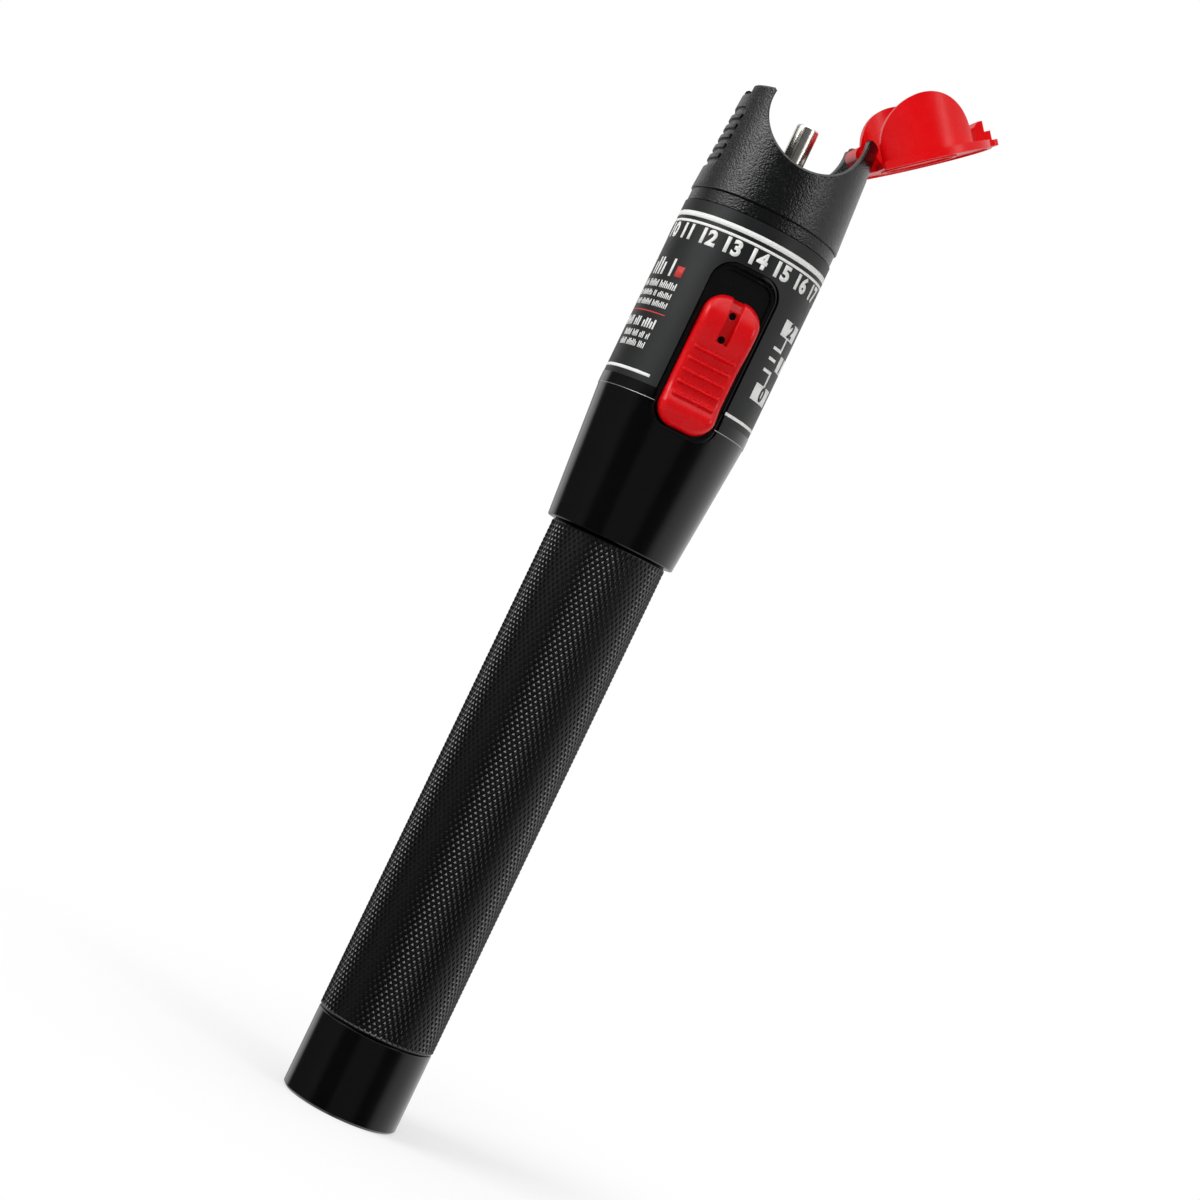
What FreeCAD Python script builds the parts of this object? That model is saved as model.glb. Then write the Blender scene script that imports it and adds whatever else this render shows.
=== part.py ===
"""Visual fault locator: a pen-shaped red laser source with a 2.5 mm ferrule port.

The pen stands on its tail. Z runs along the pen from the middle of the tail's end face to the port,
and the slide button faces -Y. Lengths are millimetres.
"""
import FreeCAD
import Part
import Sketcher
import os

from FreeCAD import Rotation, Vector

SIZES = {
    # outside of the pen, from the tail up
    "cap_diameter": 19.8,
    "cap_length": 13.7,
    "grip_diameter": 20.0,
    "cone_diameter": 22.2,
    "cone_length": 22.85,
    "barrel_diameter": 26.0,
    "band_length": 1.85,
    "label_length": 30.7,
    "label_thickness": 0.2,
    "collar_step": 0.25,
    "collar_length": 2.0,
    "collar_groove": 0.25,
    "crown_taper": 1.15,
    "crown_height": 18.75,
    "edge_break": 0.4,
    "fine_break": 0.15,
    "cut_margin": 1.0,
    # clearances
    "seat_gap": 0.05,
    "slip_gap": 0.1,
    "side_gap": 0.2,
    "label_gap": 0.02,
    "thread_gap": 0.1,
    # tail
    "neck_diameter": 17.8,
    "neck_length": 7.4,
    "tube_bore": 15.0,
    "cap_floor": 3.0,
    "spring_seat_depth": 0.8,
    "spring_diameter": 10.0,
    "spring_wire": 0.8,
    "spring_turns": 3.0,
    "ring_wire": 0.64,
    "ring_groove_depth": 0.6,
    "ring_groove_width": 0.8,
    "ring_groove_offset": 1.2,
    # batteries
    "battery_start": 8.0,
    "battery_rise": 8.4,
    "battery_diameter": 14.2,
    "battery_length": 49.4,
    "nub_diameter": 5.5,
    "nub_height": 1.1,
    "battery_edge": 0.5,
    # front barrel
    "front_neck_diameter": 17.0,
    "front_neck_length": 7.0,
    "battery_hole": 15.2,
    "barrel_wall": 2.4,
    # switch window, tray and button
    "window_offset": 19.3,
    "window_length": 28.7,
    "window_width": 11.9,
    "window_corner": 3.5,
    "tray_sink": 0.4,
    "tray_wall": 0.5,
    "tray_step": 0.5,
    "tray_low_step": 0.1,
    "shelf_sink": 2.1,
    "floor_sink": 3.1,
    "tray_back_sink": 4.4,
    "button_width": 9.5,
    "button_length": 22.75,
    "button_rest_gap": 0.8,
    "button_corner": 4.0,
    "button_lift": 0.3,
    "button_end_sink": 0.4,
    "button_crest_rise": 1.3,
    "scoop_rise": 0.3,
    "scoop_start": 5.2,
    "scoop_length": 7.7,
    "low_crest_length": 1.4,
    "high_crest_length": 2.8,
    "scoop_slope": 3.4,
    "button_blend": 1.7,
    "button_round": 0.9,
    "rib_count": 5,
    "rib_pitch": 2.0,
    "rib_length": 7.2,
    "rib_width": 0.5,
    "rib_height": 0.35,
    "notch_width": 2.0,
    "notch_length": 7.7,
    "notch_depth": 1.3,
    "dimple_diameter": 1.1,
    "dimple_depth": 0.9,
    "dimple_spacing": 4.1,
    "switch_travel": 4.0,
    "stem_width": 3.0,
    "stem_length": 4.4,
    "stem_depth": 7.0,
    "lever_size": 1.5,
    "lever_reach": 2.0,
    # electronics
    "carrier_height": 3.0,
    "carrier_slot_depth": 1.4,
    "board_front": 0.6,
    "board_thickness": 1.6,
    "board_width": 16.4,
    "board_end_gap": 1.45,
    "shell_width": 5.6,
    "shell_length": 13.0,
    "shell_height": 4.7,
    "shell_slot_depth": 1.0,
    "chip_width": 3.9,
    "chip_length": 4.9,
    "chip_height": 1.4,
    "chip_pitch": 1.27,
    "chip_standoff": 0.15,
    "capacitor_width": 1.25,
    "capacitor_length": 2.0,
    "capacitor_height": 1.0,
    "capacitor_offset": 2.5,
    "capacitor_pitch": 3.2,
    "resistor_width": 0.8,
    "resistor_length": 1.6,
    "resistor_height": 0.45,
    "resistor_offset": -4.0,
    "resistor_pitch": 2.4,
    "contact_diameter": 9.0,
    "contact_thickness": 0.4,
    "contact_tab_width": 3.0,
    "contact_tab_length": 4.6,
    "clip_width": 4.0,
    "clip_thickness": 0.3,
    "clip_foot": 4.0,
    # optics and port
    "spigot_length": 7.0,
    "spigot_wall": 2.1,
    "crown_floor": 2.3,
    "floor_height": 4.0,
    "holder_length": 11.9,
    "holder_diameter": 12.0,
    "holder_flange": 2.0,
    "diode_diameter": 5.6,
    "diode_flange": 1.2,
    "diode_recess": 0.2,
    "diode_can_diameter": 3.6,
    "diode_can_height": 2.2,
    "lead_diameter": 0.45,
    "lead_length": 5.0,
    "ground_lead_length": 1.0,
    "lead_circle": 2.6,
    "lens_diameter": 4.6,
    "lens_edge": 0.8,
    "lens_bulge": 0.7,
    "tube_diameter": 3.85,
    "tube_below_top": 1.7,
    "tube_lip": 0.8,
    "tube_lip_bore": 3.0,
    "tube_round": 0.4,
    "sleeve_diameter": 3.2,
    "sleeve_bore": 2.5,
    "sleeve_length": 11.4,
    "sleeve_end_gap": 0.6,
    "sleeve_slit": 0.3,
    "stub_length": 5.8,
    "sleeve_gap": 0.02,
    # crown
    "horn_root_wall": 1.8,
    "horn_tip_wall": 1.9,
    "cut_inset": 3.25,
    "cut_below_top": 1.7,
    "horn_edge": 0.38,
    "hinge_inset": 2.25,
    "hinge_below_top": 1.95,
    "hinge_slot_width": 7.0,
    "hinge_slot_radius": 3.65,
    "cheek_half_width": 5.6,
    "cheek_relief_inset": 3.65,
    "cheek_relief_depth": 3.2,
    "cheek_nose_radius": 1.7,
    "latch_notch_width": 6.4,
    "latch_notch_depth": 3.6,
    "latch_strip_wall": 0.7,
    "latch_strip_drop": 1.75,
    "panel_half_width": 4.8,
    "panel_height": 10.8,
    "panel_start": 3.9,
    "panel_corner": 1.5,
    "panel_depth": 0.35,
    "panel_rib_count": 5,
    "panel_rib_width": 0.7,
    # dust cap
    "lid_open_angle": 141.0,
    "lid_gap": 0.1,
    "lid_overhang": 0.15,
    "lid_thickness": 1.0,
    "lid_relief": 0.3,
    "lid_rim_width": 0.7,
    "lid_ring_diameter": 12.6,
    "skirt_gap": 0.95,
    "skirt_inset": 1.95,
    "skirt_wall": 1.2,
    "knuckle_diameter": 3.0,
    "tongue_side_gap": 0.2,
    "trunnion_diameter": 1.5,
    "trunnion_gap": 0.05,
    "trunnion_length": 10.0,
    "hook_width": 5.8,
    "hook_thickness": 1.6,
    "hook_gap": 0.15,
    "hook_length": 3.4,
    "hook_bevel": 0.8,
    "step_overhang": 0.15,
    "step_length": 1.6,
    "thumb_overhang": 1.15,
    "thumb_width": 7.0,
    "seal_diameter": 6.8,
    "seal_bore": 5.2,
    "seal_length": 1.6,
}

DOC = FreeCAD.newDocument("fault_locator")
PIECES = []
NEAR = 0.01


class Size:
    """A length kept both as a number and as the sheet expression that gives it."""

    def __init__(self, text, number):
        self.text = text
        self.number = number

    def __add__(self, other):
        other = as_size(other)
        return Size(f"({self.text} + {other.text})", self.number + other.number)

    def __sub__(self, other):
        other = as_size(other)
        return Size(f"({self.text} - {other.text})", self.number - other.number)

    def __mul__(self, other):
        other = as_size(other)
        return Size(f"({self.text} * {other.text})", self.number * other.number)

    def __truediv__(self, other):
        other = as_size(other)
        return Size(f"({self.text} / {other.text})", self.number / other.number)

    def __neg__(self):
        return Size(f"(0 - {self.text})", -self.number)

    def root(self):
        """Return the square root."""
        return Size(f"sqrt({self.text})", self.number ** 0.5)


def as_size(value):
    """Return a plain number as a Size, and a Size as it is."""
    if isinstance(value, Size):
        return value
    return Size(repr(value), value)


class Sheet:
    """The spreadsheet of driving sizes; reading an attribute gives that cell as a Size."""

    def __init__(self, sizes):
        self.numbers = sizes
        self.table = DOC.addObject("Spreadsheet::Sheet", "Sizes")
        for row, (alias, number) in enumerate(sizes.items(), start=1):
            self.table.set(f"A{row}", alias)
            self.table.set(f"B{row}", str(number))
            self.table.setAlias(f"B{row}", alias)
        DOC.recompute()

    def __getattr__(self, alias):
        return Size(f"Sizes.{alias}", self.numbers[alias])


S = Sheet(SIZES)
ZERO = as_size(0.0)

# heights of the pen's main faces above the tail's end face
GRIP_START = S.cap_length
BATTERY_TOP = S.battery_start + (S.battery_length + S.nub_height) * 2
BARREL_START = BATTERY_TOP - S.battery_rise
SHOULDER = BARREL_START + S.cone_length
LABEL_START = SHOULDER + S.band_length
BARREL_END = LABEL_START + S.label_length
CROWN_START = BARREL_END + S.collar_length + S.collar_groove
HORN_TOP = CROWN_START + S.crown_height

# the ledge above the battery stack, and the board that stands on it
LEDGE = BATTERY_TOP + S.contact_thickness
BOARD_START = LEDGE + S.carrier_height - S.carrier_slot_depth
BOARD_BACK = S.board_thickness - S.board_front

# distances from the axis of the barrel's layers, the tray's floors and the button's top
BARREL_RADIUS = S.barrel_diameter / 2
SEAT_RADIUS = BARREL_RADIUS - S.label_thickness
CAVITY_RADIUS = BARREL_RADIUS - S.barrel_wall
SHELF_DEPTH = BARREL_RADIUS - S.shelf_sink
FLOOR_DEPTH = BARREL_RADIUS - S.floor_sink
TRAY_BACK_DEPTH = BARREL_RADIUS - S.tray_back_sink
BUTTON_END_DEPTH = BARREL_RADIUS - S.button_end_sink
BUTTON_CREST_DEPTH = BARREL_RADIUS + S.button_crest_rise
SCOOP_DEPTH = BARREL_RADIUS + S.scoop_rise

# the switch: window, tray, button and lever
WINDOW_START = BARREL_START + S.window_offset
WINDOW_END = WINDOW_START + S.window_length
BUTTON_START = WINDOW_START + S.button_rest_gap
BUTTON_END = BUTTON_START + S.button_length
BUTTON_BACK = FLOOR_DEPTH + S.button_lift
LEVER_HEIGHT = BUTTON_START + S.scoop_start + S.scoop_length / 2
SHELL_FRONT = S.board_front + S.shell_height

# the head: crown floor, port and hinge
COLLAR_RADIUS = BARREL_RADIUS - S.collar_step
CROWN_TIP_RADIUS = BARREL_RADIUS - S.crown_taper
SPIGOT_START = BARREL_END - S.spigot_length
CROWN_FLOOR_TOP = CROWN_START + S.floor_height
CROWN_FLOOR_BACK = CROWN_FLOOR_TOP - S.crown_floor
SPIGOT_RADIUS = CAVITY_RADIUS - S.slip_gap
SPIGOT_BORE = SPIGOT_RADIUS - S.spigot_wall
HOLDER_START = CROWN_FLOOR_BACK - S.holder_length
BOARD_END = HOLDER_START - S.board_end_gap
BOARD_MIDDLE = (BOARD_START + BOARD_END) / 2
TUBE_START = CROWN_FLOOR_BACK - S.holder_length / 2
TUBE_END = HORN_TOP - S.tube_below_top
SLEEVE_END = TUBE_END - S.tube_lip - S.sleeve_end_gap
SLEEVE_START = SLEEVE_END - S.sleeve_length
CUT_HEIGHT = HORN_TOP - S.cut_below_top
CUT_RADIUS = CROWN_TIP_RADIUS - S.cut_inset
HINGE_HEIGHT = HORN_TOP - S.hinge_below_top
LID_FACE = HORN_TOP + S.lid_gap
HINGE_REACH = CROWN_TIP_RADIUS - S.hinge_inset
CHEEK_RELIEF_REACH = CROWN_TIP_RADIUS - S.cheek_relief_inset
LATCH_NOTCH_REACH = CROWN_TIP_RADIUS - S.latch_strip_wall
LID_RADIUS = CROWN_TIP_RADIUS + S.lid_overhang
LID_CHORD = CHEEK_RELIEF_REACH
SKIRT_RADIUS = CROWN_TIP_RADIUS - S.skirt_inset
HOOK_OUTER = LATCH_NOTCH_REACH - S.hook_gap
HOOK_INNER = HOOK_OUTER - S.hook_thickness
THUMB_REACH = CROWN_TIP_RADIUS + S.thumb_overhang
TRUNNION_HOLE_RADIUS = S.trunnion_diameter / 2 + S.trunnion_gap


# ---------------------------------------------------------------- document helpers


def bind(item, path, size):
    """Tie one property of an object to a sheet expression."""
    item.setExpression(path, as_size(size).text)


def finish(item, name):
    """Record an object as the finished piece of that name."""
    item.Label = name
    PIECES.append((name, item))
    return item


def new_body(name):
    """Start a PartDesign body."""
    return DOC.addObject("PartDesign::Body", name)


def new_sketch(body, name, role, offset=ZERO):
    """Start a sketch on one of the body's own origin planes, moved along the plane's normal."""
    sketch = body.newObject("Sketcher::SketchObject", name)
    plane = [item for item in body.Origin.OriginFeatures if item.Role == role][0]
    sketch.AttachmentSupport = [(plane, "")]
    sketch.MapMode = "FlatFace"
    bind(sketch, "AttachmentOffset.Base.z", offset)
    return sketch


def hold(sketch, kind, ends, size):
    """Add a dimension between the given ends and tie it to its expression."""
    index = sketch.addConstraint(Sketcher.Constraint(kind, *ends, size.number))
    sketch.setExpression(f"Constraints[{index}]", size.text)


def pin_point(sketch, element, end, across, up):
    """Hold one point of a sketch at a place measured from the sketch's origin."""
    for kind, axis, size in (("DistanceX", -2, across), ("DistanceY", -1, up)):
        if size.number == 0:
            sketch.addConstraint(Sketcher.Constraint("PointOnObject", element, end, axis))
        else:
            hold(sketch, kind, (-1, 1, element, end), size)


def arc_between(start, end, radius):
    """Return the short arc that bulges to the right of start-end, or to the left if negative."""
    chord = end - start
    left = Vector(-chord.y, chord.x, 0).normalize()
    drop = max(radius ** 2 - (chord.Length / 2) ** 2, 0.0) ** 0.5
    side = 1 if radius > 0 else -1
    centre = (start + end) / 2 + left * drop * side
    first, last = (start, end) if radius > 0 else (end, start)
    angles = []
    for point in (first, last):
        ray = point - centre
        angles.append(Vector(1, 0, 0).getAngle(ray) * (1 if ray.y >= 0 else -1))
    circle = Part.Circle(centre, Vector(0, 0, 1), abs(radius))
    return Part.ArcOfCircle(circle, angles[0], angles[1])


def outline(sketch, corners, arcs=None):
    """Draw a closed outline through (across, up) corners, listed counter-clockwise.

    arcs maps the number of a side to its radius: that side is an arc that bulges outward, or
    inward where the radius is negative. Side 0 runs from corner 0 to corner 1.
    """
    arcs = arcs or {}
    corners = [(as_size(across), as_size(up)) for across, up in corners]
    points = [Vector(across.number, up.number, 0) for across, up in corners]
    ends = []
    for side, start in enumerate(points):
        end = points[(side + 1) % len(points)]
        if side in arcs:
            radius = as_size(arcs[side])
            element = sketch.addGeometry(arc_between(start, end, radius.number), False)
            size = radius if radius.number > 0 else -radius
            hold(sketch, "Radius", (element,), size)
            ends.append((element, 1, 2) if radius.number > 0 else (element, 2, 1))
        else:
            element = sketch.addGeometry(Part.LineSegment(start, end), False)
            ends.append((element, 1, 2))
    for side, (element, first, _) in enumerate(ends):
        before, _, last = ends[side - 1]
        sketch.addConstraint(Sketcher.Constraint("Coincident", before, last, element, first))
        pin_point(sketch, element, first, *corners[side])


def circle(sketch, across, up, radius):
    """Draw a circle with a dimensioned centre and radius."""
    across, up, radius = as_size(across), as_size(up), as_size(radius)
    ring = Part.Circle(Vector(across.number, up.number, 0), Vector(0, 0, 1), radius.number)
    element = sketch.addGeometry(ring, False)
    hold(sketch, "Radius", (element,), radius)
    pin_point(sketch, element, 3, across, up)


def rounded(sketch, left, right, low, high, corner):
    """Draw a rectangle with four round corners."""
    corners = [
        (left + corner, low), (right - corner, low),
        (right, low + corner), (right, high - corner),
        (right - corner, high), (left + corner, high),
        (left, high - corner), (left, low + corner),
    ]
    outline(sketch, corners, {1: corner, 3: corner, 5: corner, 7: corner})


def rectangle(sketch, left, right, low, high):
    """Draw a plain rectangle."""
    outline(sketch, [(left, low), (right, low), (right, high), (left, high)])


def revolve(body, name, section):
    """Turn a section of (radius, height) corners about the pen's axis."""
    corners, arcs = section
    sketch = new_sketch(body, f"{name}_section", "XZ_Plane")
    outline(sketch, corners, arcs)
    turn = body.newObject("PartDesign::Revolution", f"{name}_turn")
    turn.Profile = sketch
    turn.ReferenceAxis = (sketch, ["V_Axis"])
    turn.Angle = 360
    DOC.recompute()
    return turn


def pad(body, sketch, length, symmetric=False):
    """Raise a sketch along its normal, or equally to both sides."""
    feature = body.newObject("PartDesign::Pad", f"{sketch.Name}_pad")
    feature.Profile = sketch
    feature.SideType = "Symmetric" if symmetric else "One side"
    bind(feature, "Length", length)
    DOC.recompute()
    return feature


def pocket(body, sketch, length, along_normal=True, symmetric=False):
    """Cut a sketch into the body, along its normal unless told otherwise."""
    before = body.Shape.Volume
    feature = body.newObject("PartDesign::Pocket", f"{sketch.Name}_pocket")
    feature.Profile = sketch
    feature.SideType = "Symmetric" if symmetric else "One side"
    feature.Reversed = along_normal and not symmetric
    bind(feature, "Length", length)
    DOC.recompute()
    if body.Shape.Volume >= before:
        raise RuntimeError(f"{feature.Name} cuts nothing")
    return feature


def dress(body, kind, size, chosen):
    """Fillet or chamfer the edges of the body's last feature that the rule chooses."""
    base = body.Tip
    names = [f"Edge{number}" for number, edge in enumerate(base.Shape.Edges, start=1) if chosen(edge)]
    if not names:
        raise RuntimeError(f"{body.Name} has no edge to dress")
    feature = body.newObject(f"PartDesign::{kind}", f"{body.Name}_{kind.lower()}")
    feature.Base = (base, names)
    bind(feature, "Radius" if kind == "Fillet" else "Size", size)
    DOC.recompute()
    return feature


def combine(kind, name, base, *tools):
    """Join, cut or intersect objects one after the other."""
    for number, tool in enumerate(tools):
        joined = DOC.addObject(f"Part::{kind}", f"{name}_{kind.lower()}_{number}")
        joined.Base = base
        joined.Tool = tool
        joined.Refine = True
        base = joined
    DOC.recompute()
    return base


def box(name, left, right, front, back, low, high):
    """Make a box between two values of X, Y and Z."""
    block = DOC.addObject("Part::Box", name)
    bind(block, "Length", right - left)
    bind(block, "Width", back - front)
    bind(block, "Height", high - low)
    for axis, place in (("x", left), ("y", front), ("z", low)):
        bind(block, f".Placement.Base.{axis}", place)
    return block


def rod(name, radius, low, high, across=ZERO, along=ZERO):
    """Make an upright cylinder between two heights."""
    cylinder = DOC.addObject("Part::Cylinder", name)
    bind(cylinder, "Radius", radius)
    bind(cylinder, "Height", high - low)
    for axis, place in (("x", across), ("y", along), ("z", low)):
        bind(cylinder, f".Placement.Base.{axis}", place)
    return cylinder


def cross_rod(name, radius, across, height, length):
    """Make a cylinder that lies along Y, with its middle in the XZ plane."""
    cylinder = rod(name, radius, ZERO, length, across)
    cylinder.Placement.Rotation = Rotation(Vector(1, 0, 0), -90)
    bind(cylinder, ".Placement.Base.y", -(length / 2))
    bind(cylinder, ".Placement.Base.z", height)
    return cylinder


def slab(name, half_width, low, high, corner, inner, outer):
    """Make a round-cornered slab in front of the axis, between two distances from it."""
    body = new_body(name)
    sketch = new_sketch(body, f"{name}_face", "XZ_Plane", inner)
    rounded(sketch, -half_width, half_width, low, high, corner)
    pad(body, sketch, outer - inner)
    return body


# ---------------------------------------------------------------- tail and battery tube


def make_tail_cap():
    """Turned screw cap: a cup with a seat for the spring in its floor."""
    radius = S.cap_diameter / 2
    bore = S.neck_diameter / 2 + S.thread_gap
    seat = S.spring_diameter / 2 + S.spring_wire
    seat_height = S.cap_floor - S.spring_seat_depth
    corners = [
        (ZERO, ZERO), (radius - S.edge_break, ZERO), (radius, S.edge_break),
        (radius, S.cap_length - S.fine_break), (radius - S.fine_break, S.cap_length),
        (bore, S.cap_length), (bore, S.cap_floor), (seat, S.cap_floor),
        (seat, seat_height), (ZERO, seat_height),
    ]
    body = new_body("tail_cap_body")
    revolve(body, "tail_cap", (corners, {}))
    finish(body, "tail_cap")


def make_tail_spring():
    """Coiled battery spring that stands in the tail cap's seat; its wire is six-sided to stay light."""
    seat_height = S.cap_floor - S.spring_seat_depth
    wire_radius = S.spring_wire / 2
    body = new_body("tail_spring_body")
    sketch = new_sketch(body, "spring_wire_section", "XZ_Plane")
    middle = seat_height + wire_radius
    coil_radius = S.spring_diameter / 2
    flat = wire_radius * as_size(0.75).root()
    corners = [
        (coil_radius - wire_radius, middle), (coil_radius - wire_radius / 2, middle - flat),
        (coil_radius + wire_radius / 2, middle - flat), (coil_radius + wire_radius, middle),
        (coil_radius + wire_radius / 2, middle + flat), (coil_radius - wire_radius / 2, middle + flat),
    ]
    outline(sketch, corners)
    coil = body.newObject("PartDesign::AdditiveHelix", "spring_coil")
    coil.Profile = sketch
    coil.ReferenceAxis = (sketch, ["V_Axis"])
    coil.Mode = "height-turns-angle"
    bind(coil, "Height", S.battery_start - seat_height - S.spring_wire)
    bind(coil, "Turns", S.spring_turns)
    coil.Angle = 0
    DOC.recompute()
    finish(body, "tail_spring")


def ring_groove_floor():
    """Return the radius of the seal ring's groove."""
    return S.neck_diameter / 2 - S.ring_groove_depth


def make_cap_seal_ring():
    """Flat rubber ring in the groove of the tube's neck, with its outer edges broken."""
    inner = ring_groove_floor() + S.label_gap
    outer = inner + S.ring_wire
    middle = GRIP_START - S.ring_groove_offset - S.ring_groove_width / 2
    low = middle - S.ring_wire / 2
    high = middle + S.ring_wire / 2
    corners = [
        (inner, low), (outer - S.fine_break, low), (outer, low + S.fine_break),
        (outer, high - S.fine_break), (outer - S.fine_break, high), (inner, high),
    ]
    body = new_body("cap_seal_ring_body")
    revolve(body, "cap_seal_ring", (corners, {}))
    finish(body, "cap_seal_ring")


def make_grip_tube():
    """Knurled battery tube with a screwed neck at each end."""
    neck = S.neck_diameter / 2
    grip = S.grip_diameter / 2
    front_neck = S.front_neck_diameter / 2
    bore = S.tube_bore / 2
    groove_top = GRIP_START - S.ring_groove_offset
    groove_low = groove_top - S.ring_groove_width
    corners = [
        (bore, GRIP_START - S.neck_length), (neck - S.fine_break, GRIP_START - S.neck_length),
        (neck, GRIP_START - S.neck_length + S.fine_break), (neck, groove_low),
        (ring_groove_floor(), groove_low), (ring_groove_floor(), groove_top),
        (neck, groove_top), (neck, GRIP_START),
        (grip - S.edge_break, GRIP_START), (grip, GRIP_START + S.edge_break),
        (grip, BARREL_START - S.edge_break), (grip - S.edge_break, BARREL_START),
        (front_neck, BARREL_START), (front_neck, BARREL_START + S.front_neck_length),
        (bore, BARREL_START + S.front_neck_length),
    ]
    body = new_body("grip_tube_body")
    revolve(body, "grip_tube", (corners, {}))
    finish(body, "grip_tube")


def make_battery(name, start):
    """One AA cell, plus end up."""
    radius = S.battery_diameter / 2
    nub = S.nub_diameter / 2
    top = start + S.battery_length
    corner = S.battery_edge
    corners = [
        (ZERO, start), (radius - corner, start), (radius, start + corner),
        (radius, top - corner), (radius - corner, top), (nub, top),
        (nub, top + S.nub_height), (ZERO, top + S.nub_height),
    ]
    body = new_body(f"{name}_body")
    revolve(body, name, (corners, {}))
    finish(body, name)


# ---------------------------------------------------------------- front barrel


def make_front_barrel():
    """Turned barrel: cone, shoulder, label seat, stepped bore and the switch window."""
    outer = BARREL_RADIUS
    neck_bore = S.front_neck_diameter / 2 + S.seat_gap
    neck_end = BARREL_START + S.front_neck_length
    cone = S.cone_diameter / 2
    corners = [
        (neck_bore, BARREL_START), (cone - S.fine_break, BARREL_START),
        (cone, BARREL_START + S.fine_break), (outer - S.fine_break / 2, SHOULDER - S.fine_break),
        (outer, SHOULDER), (outer, LABEL_START - S.label_gap),
        (SEAT_RADIUS, LABEL_START - S.label_gap), (SEAT_RADIUS, BARREL_END),
        (CAVITY_RADIUS, BARREL_END), (CAVITY_RADIUS, LEDGE),
        (S.battery_hole / 2, LEDGE), (S.battery_hole / 2, neck_end), (neck_bore, neck_end),
    ]
    body = new_body("front_barrel_body")
    revolve(body, "front_barrel", (corners, {}))
    sketch = new_sketch(body, "window_outline", "XZ_Plane")
    half = S.window_width / 2
    rounded(sketch, -half, half, WINDOW_START, WINDOW_END, S.window_corner)
    pocket(body, sketch, S.barrel_diameter)
    finish(body, "front_barrel")


def make_label_wrap():
    """Printed film round the barrel, cut out over the switch window."""
    inner = SEAT_RADIUS + S.label_gap
    outer = BARREL_RADIUS
    corners = [
        (inner, LABEL_START), (outer, LABEL_START),
        (outer, BARREL_END - S.seat_gap), (inner, BARREL_END - S.seat_gap),
    ]
    body = new_body("label_wrap_body")
    revolve(body, "label_wrap", (corners, {}))
    sketch = new_sketch(body, "label_window", "XZ_Plane")
    half = S.window_width / 2
    rounded(sketch, -half, half, WINDOW_START, WINDOW_END, S.window_corner)
    pocket(body, sketch, S.barrel_diameter)
    finish(body, "label_wrap")


def make_switch_bezel():
    """Moulded tray in the window: rim, shelf, deeper floor and a slot for the button's stem."""
    outer = BARREL_RADIUS
    half = S.window_width / 2 - S.seat_gap
    low = WINDOW_START + S.seat_gap
    high = WINDOW_END - S.seat_gap
    corner = S.window_corner - S.seat_gap
    block = slab("bezel_block", half, low, high, corner, TRAY_BACK_DEPTH, outer)
    limit = rod("bezel_limit", outer - S.tray_sink, WINDOW_START - S.cut_margin,
                WINDOW_END + S.cut_margin)
    blank = combine("Common", "bezel_blank", block, limit)
    wall = S.tray_wall
    shelf = slab("bezel_shelf", half - wall, low + wall, high - wall, corner - wall, SHELF_DEPTH, outer)
    deep = wall + S.tray_step
    well = slab("bezel_well", half - deep, low + wall + S.tray_low_step,
                high - deep, corner - deep, FLOOR_DEPTH, outer)
    slot_low = LEVER_HEIGHT - S.stem_length / 2 - S.button_lift
    slot_high = LEVER_HEIGHT + S.stem_length / 2 + S.switch_travel + S.button_lift
    slot_half = S.stem_width / 2 + S.slip_gap
    slot = box(
        "bezel_slot", -slot_half, slot_half, -outer, -(TRAY_BACK_DEPTH - S.cut_margin),
        slot_low, slot_high,
    )
    finish(combine("Cut", "bezel", blank, shelf, well, slot), "switch_bezel")


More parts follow.
